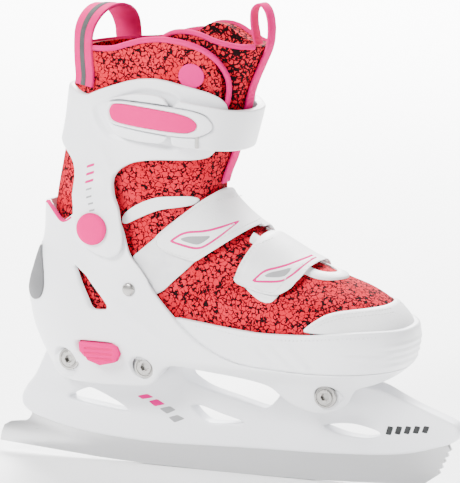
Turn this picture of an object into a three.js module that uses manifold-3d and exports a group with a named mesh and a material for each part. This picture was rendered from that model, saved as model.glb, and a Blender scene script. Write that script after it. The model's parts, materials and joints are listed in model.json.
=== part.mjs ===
// A child's adjustable ice skate for the right foot, in millimetres: +X towards the toe,
// +Y towards the inner side of the foot, +Z up. The origin is the middle of the blade's
// contact with the ice.
//
// Every outline is drawn in side view, as [x, z], for a pattern size, and graded to the
// boot's length, width and height as a shoemaker grades a pattern. Walls, clearances and
// fasteners are never graded.

import * as THREE from "three";
import { mergeVertices } from "three/addons/utils/BufferGeometryUtils.js";
import Module from "manifold-3d";

const wasm = await Module();
wasm.setup();

// ---------------------------------------------------------------- driving dimensions

const PATTERN = { length: 236, width: 84, height: 266 };
const BOOT_LENGTH = 236; // heel to toe of the soft boot
const BOOT_WIDTH = 84; // of the soft boot, across the ball of the foot
const COLLAR_HEIGHT = 266; // from the ice to the collar's highest point

const BLADE_THICKNESS = 4;
const BLADE_ROCKER = 1500; // radius of the blade's curve
const BLADE_FLAT = 12; // half of the flat that the sharpened blade stands on
const PICK_TEETH = 5;
const PICK_DEPTH = 2.2;

const FIT = 0.4; // between pieces that touch
const RUNNING = 0.5; // between pieces that move past each other
const KNIT_WALL = 4; // padded knit of the soft boot
const COLLAR_WALL = 3;
const TONGUE_WALL = 7;
const SHELL_WALL = 2.8; // moulded heel shell
const SLIDE_WALL = 1.2; // the toe shell's wings inside the heel shell
const SLIDE_ROOM = 2; // room inside the wings, because the foot widens towards the ball
const BUMPER_WALL = 4.4;
const CUFF_WALL = 3;
const LEATHER = 1.2; // toe cap, trims and loop pads
const STRAP_WALL = 2.4;

const RAIL_WALL = 4; // of the holder beside the blade
const TOWER_HALF = 10.8; // half of the holder's thickness at its towers
const FLANGE_WALL = 18; // of the sole's flanges beside the towers

const BOLT_RADIUS = 3;
const BOLT_HEAD_RADIUS = 6.5;
const BOLT_HEAD_HEIGHT = 3.2;
const SLEEVE_RADIUS = 4;
const SLEEVE_LENGTH = 14;
const RIVET_RADIUS = 4.3;
const PIVOT_RADIUS = 5;
const CAP_RADIUS = 9.75;
const CAP_HEIGHT = 3;
const LEVER_PIN_RADIUS = 1.1;

const SIZE_STEP = 20 / 3; // one size of toe travel
const SIZES = 4;
const BUTTON_TRAVEL = 2.5;
const BUTTON_PROUD = 1.8;

const WEBBING_WIDTH = 16;
const WEBBING_THICKNESS = 2;
const RIBBON_WIDTH = 12;
const RIBBON_THICKNESS = 1.4;

// ---------------------------------------------------------------- materials

const plastic = (color, roughness) =>
  new THREE.MeshStandardMaterial({ color, roughness, metalness: 0 });
const WHITE = plastic(0xeeeef0, 0.35);
const PINK = plastic(0xff66a8, 0.4);
const PINK_WEBBING = plastic(0xff6aa6, 0.8);
const GRAY = plastic(0x9a9a9c, 0.45);
const KNIT = plastic(0xf05a60, 0.85);
const FAUX_LEATHER = plastic(0xececec, 0.55);
const MESH_CLOTH = plastic(0xf2f2f2, 0.9);
const FOAM = plastic(0x3a3a3e, 0.9);
const STEEL = new THREE.MeshStandardMaterial({ color: 0xb9bcc0, roughness: 0.3, metalness: 1 });

// ---------------------------------------------------------------- grading and curves

const LENGTHWISE = BOOT_LENGTH / PATTERN.length;
const CROSSWISE = BOOT_WIDTH / PATTERN.width;
const UPWARD = COLLAR_HEIGHT / PATTERN.height;

const at = (x, z) => [x * LENGTHWISE, z * UPWARD];
const graded = (points) => points.map(([x, z]) => at(x, z));

// A smooth curve through [input, output] points, straight beyond its ends.
function smoothCurve(points) {
  const last = points.length - 1;
  const slopes = points.map((_, i) => {
    const [a, b] = [points[Math.max(i - 1, 0)], points[Math.min(i + 1, last)]];
    return (b[1] - a[1]) / (b[0] - a[0]);
  });
  return (t) => {
    if (t <= points[0][0]) return points[0][1] + slopes[0] * (t - points[0][0]);
    if (t >= points[last][0]) return points[last][1] + slopes[last] * (t - points[last][0]);
    const i = points.findIndex(([start]) => start > t) - 1;
    const step = points[i + 1][0] - points[i][0];
    const u = (t - points[i][0]) / step;
    const blend = u * u * (3 - 2 * u);
    const ease = u * (1 - u);
    return (
      points[i][1] * (1 - blend) +
      points[i + 1][1] * blend +
      step * ease * (slopes[i] * (1 - u) - slopes[i + 1] * u)
    );
  };
}

// ---------------------------------------------------------------- the boot's form

// The soft boot's back and front edges in side view, as [height, x].
const rearPattern = smoothCurve([
  [60, -110], [75, -114], [90, -119.5], [108, -122.5], [124, -118.5], [142, -111.5],
  [165, -109.5], [192, -104], [215, -99], [238, -95.5], [262, -90], [282, -86],
]);
const frontPattern = smoothCurve([
  [60, 104], [74, 109.5], [90, 113.5], [100, 112], [107, 107], [114, 98], [120, 87],
  [125, 73], [132, 53.5], [142, 34], [153, 14.5], [163, 2], [171, -4.5], [180, -4],
  [194, 1.5], [215, 8], [235, 13], [258, 23], [282, 33],
]);
// Half widths: of the foot along x, and of the shaft along z.
const footPattern = smoothCurve([
  [-125, 31], [-85, 32], [-40, 33.5], [0, 37], [40, 41], [75, 42], [115, 40],
]);
const shaftPattern = smoothCurve([[140, 34], [165, 34.5], [200, 36.5], [240, 38.5], [275, 40]]);
const ANKLE_BLEND = [100, 160]; // heights between which the foot's width becomes the shaft's

const HEEL_ROUND = 36; // how far from the back edge the boot reaches its full width
const FRONT_ROUND = 48;
const ROUNDNESS = 2.3; // exponent of the rounding: 2 is an ellipse, more is squarer

const rearAt = (z) => LENGTHWISE * rearPattern(z / UPWARD);
const frontAt = (z) => LENGTHWISE * frontPattern(z / UPWARD);
const slantOf = (edge, z) => Math.hypot(1, (edge(z + 1) - edge(z - 1)) / 2);

function halfWidthAt(x, z) {
  const high = THREE.MathUtils.smoothstep(z / UPWARD, ...ANKLE_BLEND);
  const foot = footPattern(x / LENGTHWISE);
  return CROSSWISE * THREE.MathUtils.lerp(foot, shaftPattern(z / UPWARD), high);
}

const roundOff = (share) =>
  share >= 1 ? 1 : (1 - (1 - Math.max(share, 0)) ** ROUNDNESS) ** (1 / ROUNDNESS);

// A form is the boot's surface moved out by lift (a number or a function of height), with
// its sides drawn in by narrow.
const form = (lift, narrow = 0) => ({
  lift: typeof lift === "function" ? lift : () => lift,
  narrow,
});

function extentOf({ lift }, z) {
  return [
    rearAt(z) - lift(z) * slantOf(rearAt, z),
    frontAt(z) + lift(z) * slantOf(frontAt, z),
  ];
}

// Half of the form's breadth at a point of the side view.
function breadthAt(x, z, surface) {
  const [rear, front] = extentOf(surface, z);
  const lift = surface.lift(z);
  const heel = roundOff((x - rear) / ((HEEL_ROUND + lift) * slantOf(rearAt, z)));
  const frontRound = FRONT_ROUND + lift + 2 * surface.narrow;
  const toe = roundOff((front - x) / (frontRound * slantOf(frontAt, z)));
  return (halfWidthAt(x, z) + lift - surface.narrow) * heel * toe;
}

// ---------------------------------------------------------------- solids

function toSolid(geometry) {
  const bare = geometry.clone();
  bare.deleteAttribute("normal");
  bare.deleteAttribute("uv");
  const merged = mergeVertices(bare, 1e-4);
  const triVerts = new Uint32Array(merged.index.array);
  const vertProperties = merged.attributes.position.array;
  const made = new wasm.Manifold(new wasm.Mesh({ numProp: 3, vertProperties, triVerts }));
  if (made.volume() > 0) return made;
  triVerts.reverse();
  return new wasm.Manifold(new wasm.Mesh({ numProp: 3, vertProperties, triVerts }));
}

const joined = (first, ...others) => others.reduce((all, next) => all.add(next), first);
const without = (first, ...others) => others.reduce((all, next) => all.subtract(next), first);

// A side view outline carried across the skate from yLow to yHigh.
function prism(outline, yLow, yHigh) {
  const shape = new THREE.Shape(outline.map(([x, z]) => new THREE.Vector2(x, z)));
  const geometry = new THREE.ExtrudeGeometry(shape, {
    depth: yHigh - yLow,
    bevelEnabled: false,
  });
  geometry.rotateX(Math.PI / 2);
  geometry.translate(0, yHigh, 0);
  return toSolid(geometry);
}

function box(low, high) {
  const size = high.map((value, i) => value - low[i]);
  const geometry = new THREE.BoxGeometry(...size);
  geometry.translate(...low.map((value, i) => value + size[i] / 2));
  return toSolid(geometry);
}

// A body of revolution about a line along Y, from [radius, y] points that start and end on
// the line.
function turned(profile, [x, z], segments = 20) {
  const points = profile.map(([radius, y]) => new THREE.Vector2(radius, y));
  const geometry = new THREE.LatheGeometry(points, segments);
  geometry.translate(x, 0, z);
  return toSolid(geometry);
}

const rod = (radius, yLow, yHigh, centre, segments) =>
  turned([[0, yLow], [radius, yLow], [radius, yHigh], [0, yHigh]], centre, segments);

// An outline moved outwards by a distance, its corners mitred.
function grown(outline, distance) {
  const corners = outline.map(([x, z]) => new THREE.Vector2(x, z));
  const turn = Math.sign(THREE.ShapeUtils.area(corners));
  return outline.map((point, i) => {
    const before = outline[(i + outline.length - 1) % outline.length];
    const after = outline[(i + 1) % outline.length];
    const [ax, az] = [point[0] - before[0], point[1] - before[1]];
    const [bx, bz] = [after[0] - point[0], after[1] - point[1]];
    const [la, lb] = [Math.hypot(ax, az), Math.hypot(bx, bz)];
    const [nx, nz] = [az / la + bz / lb, -ax / la - bx / lb];
    const reach = (turn * distance * 2) / (nx * nx + nz * nz);
    return [point[0] + nx * reach, point[1] + nz * reach];
  });
}

const LEVELS = [
  40, 52, 62, 70, 78, 86, 94, 101, 108, 114, 119, 124, 130, 137, 145, 154, 163, 172, 182,
  194, 208, 222, 238, 254, 270, 290, 300,
].map((height) => height * UPWARD);
const COLUMNS = 11; // points from heel to toe on each side of a ring

// The solid inside a form between two heights, rounded out to whole levels and to spare
// levels more. Every form shares its levels and columns, so nested forms keep their gap.
function loft(surface, low, high, spare = 0) {
  const first = Math.max(LEVELS.findLastIndex((z) => z <= low) - spare, 0);
  const last = Math.min(LEVELS.findIndex((z) => z >= high) + spare, LEVELS.length - 1);
  const levels = LEVELS.slice(first, last + 1);
  const across = COLUMNS + 1;
  const positions = [];
  for (const z of levels) {
    const [rear, front] = extentOf(surface, z);
    for (const side of [1, -1]) {
      for (let column = 0; column <= COLUMNS; column++) {
        const share = (1 - Math.cos((Math.PI * column) / COLUMNS)) / 2;
        const x = rear + (front - rear) * share;
        const atEnd = column === 0 || column === COLUMNS;
        positions.push(x, atEnd ? 0 : side * breadthAt(x, z, surface), z);
      }
    }
  }
  const corner = (level, side, column) => (level * 2 + side) * across + column;
  const triangles = [];
  const quad = (a, b, c, d) => triangles.push(a, b, c, a, c, d);
  for (let column = 0; column < COLUMNS; column++) {
    for (let level = 0; level < levels.length - 1; level++) {
      quad(
        corner(level, 1, column), corner(level, 1, column + 1),
        corner(level + 1, 1, column + 1), corner(level + 1, 1, column),
      );
      quad(
        corner(level, 0, column + 1), corner(level, 0, column),
        corner(level + 1, 0, column), corner(level + 1, 0, column + 1),
      );
    }
    const top = levels.length - 1;
    quad(
      corner(0, 0, column), corner(0, 0, column + 1),
      corner(0, 1, column + 1), corner(0, 1, column),
    );
    quad(
      corner(top, 1, column), corner(top, 1, column + 1),
      corner(top, 0, column + 1), corner(top, 0, column),
    );
  }
  const geometry = new THREE.BufferGeometry();
  geometry.setAttribute("position", new THREE.Float32BufferAttribute(positions, 3));
  geometry.setIndex(triangles);
  return toSolid(withoutSlivers(mergeVertices(geometry, 1e-4)));
}

// The rings' halves share their end points, which leaves flat triangles to drop.
function withoutSlivers(geometry) {
  const kept = [];
  for (let i = 0; i < geometry.index.count; i += 3) {
    const [a, b, c] = [0, 1, 2].map((k) => geometry.index.getX(i + k));
    if (a !== b && b !== c && a !== c) kept.push(a, b, c);
  }
  return geometry.setIndex(kept);
}

const WIDE = 100; // beyond the skate's sides
const ACROSS = { both: [-WIDE, WIDE], outer: [-WIDE, -FIT], inner: [FIT, WIDE] };

// A wall that follows the boot between two forms, trimmed to a side view outline.
function sheet(outline, innerForm, outerForm, side = "both") {
  const heights = outline.map(([, z]) => z);
  const [low, high] = [Math.min(...heights), Math.max(...heights)];
  const wall = loft(outerForm, low, high).subtract(loft(innerForm, low, high, 1));
  return wall.intersect(prism(outline, ...ACROSS[side]));
}

// A flat strip along stations of { centre, across }, its thickness on the outer side of
// the way it runs.
function strip(stations, width, thickness) {
  const positions = [];
  stations.forEach(({ centre, across }, i) => {
    const before = stations[Math.max(i - 1, 0)].centre;
    const after = stations[Math.min(i + 1, stations.length - 1)].centre;
    const normal = across.clone().cross(after.clone().sub(before)).normalize();
    for (const [u, v] of [[-1, 0], [1, 0], [1, 1], [-1, 1]]) {
      const corner = centre.clone().addScaledVector(across, (u * width) / 2);
      positions.push(...corner.addScaledVector(normal, v * thickness).toArray());
    }
  });
  const triangles = [];
  const quad = (a, b, c, d) => triangles.push(a, b, c, a, c, d);
  for (let i = 0; i < stations.length - 1; i++) {
    for (let k = 0; k < 4; k++) {
      const next = (k + 1) % 4;
      quad(4 * i + k, 4 * i + next, 4 * i + 4 + next, 4 * i + 4 + k);
    }
  }
  const end = 4 * (stations.length - 1);
  quad(3, 2, 1, 0);
  quad(end, end + 1, end + 2, end + 3);
  const geometry = new THREE.BufferGeometry();
  geometry.setAttribute("position", new THREE.Float32BufferAttribute(positions, 3));
  geometry.setIndex(triangles);
  return toSolid(geometry);
}

const skate = new THREE.Group();

function add(name, made, material) {
  const { vertProperties, triVerts } = made.getMesh();
  const geometry = new THREE.BufferGeometry();
  geometry.setAttribute("position", new THREE.BufferAttribute(new Float32Array(vertProperties), 3));
  geometry.setIndex(new THREE.BufferAttribute(new Uint32Array(triVerts), 1));
  geometry.computeVertexNormals();
  const mesh = new THREE.Mesh(geometry, material);
  mesh.name = name;
  skate.add(mesh);
}

// ---------------------------------------------------------------- layers and heights

// Distances out from the soft boot's surface.
const PAD = [FIT, FIT + LEATHER];
const STRAP = [PAD[1] + RUNNING, PAD[1] + RUNNING + STRAP_WALL];
const WING = [SLIDE_ROOM, SLIDE_ROOM + SLIDE_WALL];
const HEEL = [WING[1] + FIT, WING[1] + FIT + SHELL_WALL];
const ARM = [HEEL[1] + RUNNING, HEEL[1] + RUNNING + CUFF_WALL];
const BUMPER = [SLIDE_ROOM, FIT + BUMPER_WALL];
const COLLAR_CUFF = [FIT, FIT + CUFF_WALL];
const BUCKLE_BASE = [COLLAR_CUFF[1] + FIT, COLLAR_CUFF[1] + 5.6];
const LEVER = [COLLAR_CUFF[1] + 2.9, COLLAR_CUFF[1] + 7.4];
const CUFF_STRAP = [COLLAR_CUFF[1] + RUNNING, COLLAR_CUFF[1] + 6.4];

// Heights of the flat layers under the foot.
const TOWER_TOP = 72 * UPWARD;
const PLATE_TOP = TOWER_TOP + FIT + 3;
const FRONT_PLATE_TOP = 73.5 * UPWARD;
const RACK = [PLATE_TOP + RUNNING, PLATE_TOP + RUNNING + 1.6];
const STEM = [RACK[1] + RUNNING, RACK[1] + RUNNING + 1.4];
const TOE_FLOOR = [FRONT_PLATE_TOP + RUNNING, RACK[1]];
const BOOT_BOTTOM = STEM[1] + RUNNING;
const VAMP_BOTTOM = TOE_FLOOR[1] + RUNNING;
const FOOTBED = [BOOT_BOTTOM + KNIT_WALL + FIT, BOOT_BOTTOM + KNIT_WALL + FIT + 3.5];

const SEAM_X = 13 * LENGTHWISE; // where the fixed heel half meets the sliding toe half
const PIVOT = at(-70.5, 152);
const BOLTS = { rear: at(-92.2, 69.1), middle: at(-42.2, 67.9), front: at(72.8, 58.9) };

// ---------------------------------------------------------------- blade and holder

function rockerHeight(x) {
  const beyond = Math.max(Math.abs(x) - BLADE_FLAT, 0);
  return (beyond * beyond) / (2 * BLADE_ROCKER);
}

// Teeth up the front of the blade, from its running edge to the holder.
function pickOutline() {
  const low = new THREE.Vector2(...at(134, 11.3));
  const high = new THREE.Vector2(...at(142.5, 29.5));
  const step = high.clone().sub(low).divideScalar(PICK_TEETH);
  const back = new THREE.Vector2(-step.y, step.x).setLength(PICK_DEPTH);
  const points = [];
  for (let tooth = 0; tooth < PICK_TEETH; tooth++) {
    const tip = low.clone().addScaledVector(step, tooth);
    const root = low.clone().addScaledVector(step, tooth + 0.45).add(back);
    points.push(tip.toArray(), root.toArray());
  }
  return points;
}

const running = [-154.7, -120, -85, -50].map((x) => x * LENGTHWISE);
const ahead = [45, 80, 108, 124].map((x) => x * LENGTHWISE);
const bladeOutline = [
  ...running.map((x) => [x, rockerHeight(x)]),
  [-BLADE_FLAT, 0],
  [BLADE_FLAT, 0],
  ...ahead.map((x) => [x, rockerHeight(x)]),
  ...pickOutline(),
  ...graded([
    [137, 36], [118, 31], [60, 26], [-44, 23], [-100, 27], [-130, 33],
    [-132.6, 25], [-134, 22.5], [-137, 20.5], [-148, 19], [-151.5, 17], [-153.5, 12.5],
  ]),
];

const holderOutline = graded([
  [-113, 72], [-118, 69], [-121, 62], [-126, 52], [-133, 45], [-137.5, 38], [-137, 32],
  [-134, 29], [-129, 26], [-111, 21], [-94, 18], [-70, 16], [-44, 15], [9, 17], [60, 18],
  [98, 20], [118, 23], [140, 30], [145.5, 33], [147, 38], [145, 42.5], [138, 45.5], [127, 49.5],
  [114, 54.5], [99, 61], [91, 62.5], [86, 63.6], [36, 63.6], [31, 62], [33, 58], [36, 54],
  [35, 51], [27.5, 43], [24, 42.5], [11, 46], [-12, 51.5], [-25, 57], [-27, 61], [-28, 66],
  [-31, 72],
]);
const holderWindows = {
  rear: graded([[-109, 38.6], [-92, 46.5], [-88, 47], [-65, 35], [-65, 33], [-88, 36]]),
  middle: graded([
    [-24, 41], [-16, 41], [-4, 37], [11, 33.4], [11, 32], [-10, 30.4], [-15, 32], [-20, 36],
  ]),
  front: graded([
    [60, 35], [72, 37.6], [83, 38], [98, 34.6], [98, 31.2], [88, 29.6], [76, 30.4], [66, 33],
  ]),
};
// The towers are thicker than the rail: one at the heel, one under the ball.
const rearTower = graded([
  [-113, 72], [-118, 69], [-121, 62], [-126, 52], [-118, 47], [-60, 45], [-12, 51.5],
  [-25, 57], [-27, 61], [-28, 66], [-31, 72],
]);
const frontTower = graded([
  [36, 63.6], [31, 62], [33, 58], [36, 54], [50, 46], [90, 46], [114, 54.5], [99, 61],
  [91, 62.5], [86, 63.6],
]);

const RAIL_HALF = BLADE_THICKNESS / 2 + RAIL_WALL;

add("blade", prism(bladeOutline, -BLADE_THICKNESS / 2, BLADE_THICKNESS / 2), STEEL);

function holder() {
  const slotHalf = BLADE_THICKNESS / 2 + FIT;
  const body = joined(
    prism(holderOutline, -RAIL_HALF, RAIL_HALF),
    prism(rearTower, -TOWER_HALF, TOWER_HALF),
    prism(frontTower, -TOWER_HALF, TOWER_HALF),
  );
  const cuts = [prism(grown(bladeOutline, FIT), -slotHalf, slotHalf)];
  for (const outline of Object.values(holderWindows)) cuts.push(prism(outline, -WIDE, WIDE));
  for (const centre of Object.values(BOLTS)) {
    cuts.push(rod(SLEEVE_RADIUS + FIT, -WIDE, WIDE, centre));
  }
  return without(body, ...cuts);
}
add("blade_holder", holder(), WHITE);

// ---------------------------------------------------------------- sole and heel shell

const SOLE_SPREAD = 4; // how far the sole plate stands out round the boot
const FLANGE_OUTER = TOWER_HALF + FIT + FLANGE_WALL;
const PIVOT_BREADTH = halfWidthAt(...PIVOT);

const plateOutline = [
  ...graded([
    [-125, 72.4], [-30, 72.4], [-17, 71], [4, 69], [28, 66], [36, 64], [90, 64], [104, 66.5],
    [116, 72],
  ]),
  [116 * LENGTHWISE, FRONT_PLATE_TOP], [-24 * LENGTHWISE, FRONT_PLATE_TOP],
  [-29 * LENGTHWISE, PLATE_TOP], [-125 * LENGTHWISE, PLATE_TOP],
];
const rearFlange = graded([
  [-118, 76], [-112, 67], [-105, 57], [-99, 54.5], [-45, 54.5], [-36, 57], [-32, 64],
  [-28, 69], [-20, 73],
]);
const frontFlange = graded([
  [38, 66], [46, 55], [52, 50.5], [60, 48], [68, 47], [75, 48], [80, 51.5], [86, 62], [90, 66],
]);
const heelOutline = graded([
  [-150, 72.4], [-150, 166], [-110, 166], [-101, 160], [-93, 153], [-88, 156], [-84, 159.5],
  [-79, 163], [-70, 166], [-60, 163], [-54.5, 155], [-52, 145], [-49, 136], [-43, 127],
  [-30, 111], [-8, 90], [8, 81], [24, 76], [24, 72.4],
]);
const heelWindow = graded([
  [-85, 129.5], [-76.5, 121.5], [-62.5, 105], [-63.4, 102.6], [-72.8, 102], [-80, 117],
]);
const buttonOutline = graded([
  [-82, 82], [-60, 82], [-56.5, 80.5], [-55, 76], [-58, 71], [-68, 68.5], [-76, 71],
  [-81.5, 76.5],
]);
const rivetCentre = at(-49, 116);
const [BUTTON_X, BUTTON_Z] = at(-69, 75);
const BUTTON_WALL_Y = halfWidthAt(BUTTON_X, BUTTON_Z) + HEEL[1];
const BUTTON_DEPTH = 4.8; // thickness of the button behind its face
const LEAF_THICKNESS = 0.5;
const LEAF_Y = BUTTON_WALL_Y + BUTTON_PROUD - BUTTON_DEPTH - BUTTON_TRAVEL - RUNNING;
const POCKET_Y = LEAF_Y - LEAF_THICKNESS - FIT;

function heelShell() {
  const walls = sheet(heelOutline, form(HEEL[0]), form(HEEL[1]));
  const planHigh = Math.max(...plateOutline.map(([, z]) => z));
  const plan = loft(form(SOLE_SPREAD), 64 * UPWARD, planHigh);
  const plate = plan.intersect(prism(plateOutline, -WIDE, WIDE));
  const flanges = [];
  for (const outline of [rearFlange, frontFlange]) {
    flanges.push(prism(outline, TOWER_HALF + FIT, FLANGE_OUTER));
    flanges.push(prism(outline, -FLANGE_OUTER, -TOWER_HALF - FIT));
  }
  const body = joined(walls, plate, ...flanges);
  const cuts = [
    prism(heelWindow, -WIDE, WIDE),
    prism(grown(buttonOutline, RUNNING), -WIDE, -POCKET_Y),
    rod(2.4, -WIDE, WIDE, rivetCentre, 12),
    rod(PIVOT_RADIUS + FIT, -WIDE, WIDE, PIVOT),
  ];
  for (const centre of Object.values(BOLTS)) {
    cuts.push(rod(BOLT_RADIUS + FIT, -WIDE, 0, centre));
    cuts.push(rod(SLEEVE_RADIUS + FIT, 0, WIDE, centre));
    cuts.push(rod(BOLT_HEAD_RADIUS + FIT, -WIDE, -FLANGE_OUTER, centre));
    cuts.push(rod(BOLT_HEAD_RADIUS + FIT, FLANGE_OUTER, WIDE, centre));
  }
  return without(body, ...cuts);
}
add("heel_shell", heelShell(), WHITE);

const insertOutline = graded([
  [-109, 139], [-113, 128], [-118, 113], [-117, 106.5], [-112, 103.5], [-106, 106], [-103.5, 113],
  [-104.8, 123],
]);
for (const side of ["outer", "inner"]) {
  const faces = [form(HEEL[1] + FIT), form(HEEL[1] + FIT + 1)];
  add("heel_insert_" + side, sheet(insertOutline, ...faces, side), GRAY);
}

// Each bolt goes in from the outer side, into a sleeve nut from the inner side.
for (const [place, centre] of Object.entries(BOLTS)) {
  const seat = FLANGE_OUTER + FIT;
  const [x, z] = centre;
  const bolt = turned(
    [
      [0, -seat - BOLT_HEAD_HEIGHT], [BOLT_HEAD_RADIUS - 0.8, -seat - BOLT_HEAD_HEIGHT],
      [BOLT_HEAD_RADIUS, -seat - BOLT_HEAD_HEIGHT + 0.8], [BOLT_HEAD_RADIUS, -seat],
      [BOLT_RADIUS, -seat], [BOLT_RADIUS, seat - 3], [0, seat - 3],
    ],
    centre,
  );
  const hexagon = new THREE.CylinderGeometry(BOLT_RADIUS, BOLT_RADIUS, 4, 6);
  hexagon.translate(x, -seat - BOLT_HEAD_HEIGHT, z);
  add("bolt_" + place, bolt.subtract(toSolid(hexagon)), STEEL);
  const sleeve = turned(
    [
      [BOLT_RADIUS + FIT, seat - SLEEVE_LENGTH], [SLEEVE_RADIUS, seat - SLEEVE_LENGTH],
      [SLEEVE_RADIUS, seat], [BOLT_HEAD_RADIUS, seat], [BOLT_HEAD_RADIUS, seat + 2.4],
      [BOLT_HEAD_RADIUS - 0.8, seat + BOLT_HEAD_HEIGHT], [0, seat + BOLT_HEAD_HEIGHT],
      [0, seat - 2], [BOLT_RADIUS + FIT, seat - 2], [BOLT_RADIUS + FIT, seat - SLEEVE_LENGTH],
    ],
    centre,
  );
  add("sleeve_nut_" + place, sleeve, STEEL);
}

// Rivets of the heel shell and the pins that the cuff turns on, on both sides.
for (const [sideName, side] of [["outer", -1], ["inner", 1]]) {
  const rivetWall = halfWidthAt(...rivetCentre);
  const from = side * (rivetWall + HEEL[1] + FIT);
  const rivet = turned(
    [
      [0, side * (rivetWall + HEEL[0] - 1)], [2, side * (rivetWall + HEEL[0] - 1)], [2, from],
      [RIVET_RADIUS, from], [RIVET_RADIUS * 0.8, from + side * 1.2], [0, from + side * 1.8],
    ],
    rivetCentre,
    16,
  );
  add("shell_rivet_" + sideName, rivet, STEEL);

  const inside = PIVOT_BREADTH + HEEL[0] - 2 * FIT;
  const outside = PIVOT_BREADTH + ARM[1] + FIT;
  const pin = turned(
    [
      [0, side * (inside - 1.2)], [7.2, side * (inside - 1.2)], [7.2, side * inside],
      [PIVOT_RADIUS, side * inside], [PIVOT_RADIUS, side * outside], [0, side * outside],
    ],
    PIVOT,
    24,
  );
  add("ankle_pin_" + sideName, pin, STEEL);
  const face = outside + FIT;
  const cap = turned(
    [
      [0, side * face], [CAP_RADIUS, side * face], [CAP_RADIUS, side * (face + 1.6)],
      [CAP_RADIUS * 0.8, side * (face + CAP_HEIGHT - 0.4)], [0, side * (face + CAP_HEIGHT)],
    ],
    PIVOT,
    28,
  );
  add("pivot_cap_" + sideName, cap, PINK);
}

// ---------------------------------------------------------------- soft boot, heel half

// The boot's top edge leaves the cuff's boot a sector about the ankle to turn in.
const LOWER_TOP = { front: 18, rear: 165 };
const UPPER_BOTTOM = { front: 43, rear: 155 };
const HINGE_RELIEF = 9;
const ray = (degrees, reach) => {
  const angle = THREE.MathUtils.degToRad(degrees);
  return [PIVOT[0] + reach * Math.cos(angle), PIVOT[1] + reach * Math.sin(angle)];
};

const lowerOutline = [
  [-150 * LENGTHWISE, BOOT_BOTTOM], ray(LOWER_TOP.rear, 95), PIVOT, ray(LOWER_TOP.front, 105),
  [60 * LENGTHWISE, BOOT_BOTTOM],
];
const behindSeam = [
  [-150 * LENGTHWISE, BOOT_BOTTOM], [-150 * LENGTHWISE, 300], [SEAM_X - FIT, 300],
  [SEAM_X - FIT, BOOT_BOTTOM],
];
const aheadOfSeam = [
  [SEAM_X + FIT, VAMP_BOTTOM], [SEAM_X + FIT, 300], [160 * LENGTHWISE, 300],
  [160 * LENGTHWISE, VAMP_BOTTOM],
];

// A knit shell with a floor and an open top.
function softShell(outline, bottom) {
  const high = Math.max(...outline.map(([, z]) => z));
  const inside = loft(form(-KNIT_WALL), bottom, high, 1);
  const hollow = inside.intersect(
    box([-WIDE * 3, -WIDE, bottom + KNIT_WALL], [WIDE * 3, WIDE, high + WIDE]),
  );
  const outside = loft(form(0), bottom, high);
  return outside.subtract(hollow).intersect(prism(outline, -WIDE, WIDE));
}

const heelHalf = softShell(lowerOutline, BOOT_BOTTOM).intersect(prism(behindSeam, -WIDE, WIDE));
add("liner_lower", heelHalf, KNIT);

function footbed() {
  const [low, high] = FOOTBED;
  const inset = 2.6; // clear of the toe half as it slides
  const slab = box([-WIDE * 2, -WIDE, low], [WIDE * 2, WIDE, high]);
  return loft(form(-KNIT_WALL - inset), low, high).intersect(slab);
}
add("footbed", footbed(), FOAM);

const ankleTrim = graded([
  [-55, 153], [-55, 160], [-45, 167], [-33, 171.5], [-24, 172], [-19, 168], [-22, 165],
  [-31, 164], [-41, 160],
]);
for (const side of ["outer", "inner"]) {
  add("ankle_trim_" + side, sheet(ankleTrim, form(PAD[0]), form(PAD[1]), side), FAUX_LEATHER);
}

// ---------------------------------------------------------------- hook-and-loop straps

// A strap is an inner half sewn down to the boot and an outer flap that peels off its pad.
const upperFlap = graded([
  [-4, 173.5], [-10, 169], [-19, 161], [-34, 148.5], [-34.5, 145], [-32, 140.5], [-12, 134.5],
  [-9, 134.5], [9, 148.5], [16, 153.5], [20, 156], [3, 174.5],
]);
const upperSewn = graded([
  [-4, 173.5], [-14, 162], [-22, 140], [-18, 112], [12, 112], [16, 140], [18, 154], [20, 156],
  [3, 174.5],
]);
const upperPad = graded([
  [-56, 129], [-33, 147.5], [-20, 157.5], [-3, 141], [-7, 134.5], [-38, 107],
]);
const lowerFlap = graded([
  [24, 148.5], [21, 141], [16.5, 130], [15, 123.5], [29, 120], [42, 118], [46, 121], [50, 129],
  [53, 134], [58, 138], [28, 154],
]);
const lowerSewn = graded([
  [24, 148.5], [18, 138], [15, 104], [44, 104], [49, 126], [53, 134], [58, 138], [28, 154],
]);
const lowerPad = graded([[22, 123], [41, 111.5], [49, 121], [45, 129], [25, 131]]);

function crestStrap(outline, side) {
  return sheet(outline, form(STRAP[0]), form(STRAP[1]), side);
}
add("strap_upper", crestStrap(upperSewn, "inner"), FAUX_LEATHER);
add("flap_upper", crestStrap(upperFlap, "outer"), FAUX_LEATHER);
add("loop_pad_upper", sheet(upperPad, form(PAD[0]), form(PAD[1]), "outer"), MESH_CLOTH);

// ---------------------------------------------------------------- toe half

const bumperOutline = graded([
  [-15, 99.6], [-6, 91.6], [9, 82.8], [25, 77.8], [27, 73], [150, 73], [150, 97.5], [112, 99],
  [92, 99.3], [63, 97], [36, 96.3], [12, 98],
]).map(([x, z]) => [x, Math.max(z, TOE_FLOOR[0])]);
const wingOutline = graded([[-6, 97], [-6, 73], [60, 73], [60, 95.5], [36, 95.5], [12, 97]]).map(
  ([x, z]) => [x, Math.max(z, TOE_FLOOR[0])],
);

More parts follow.
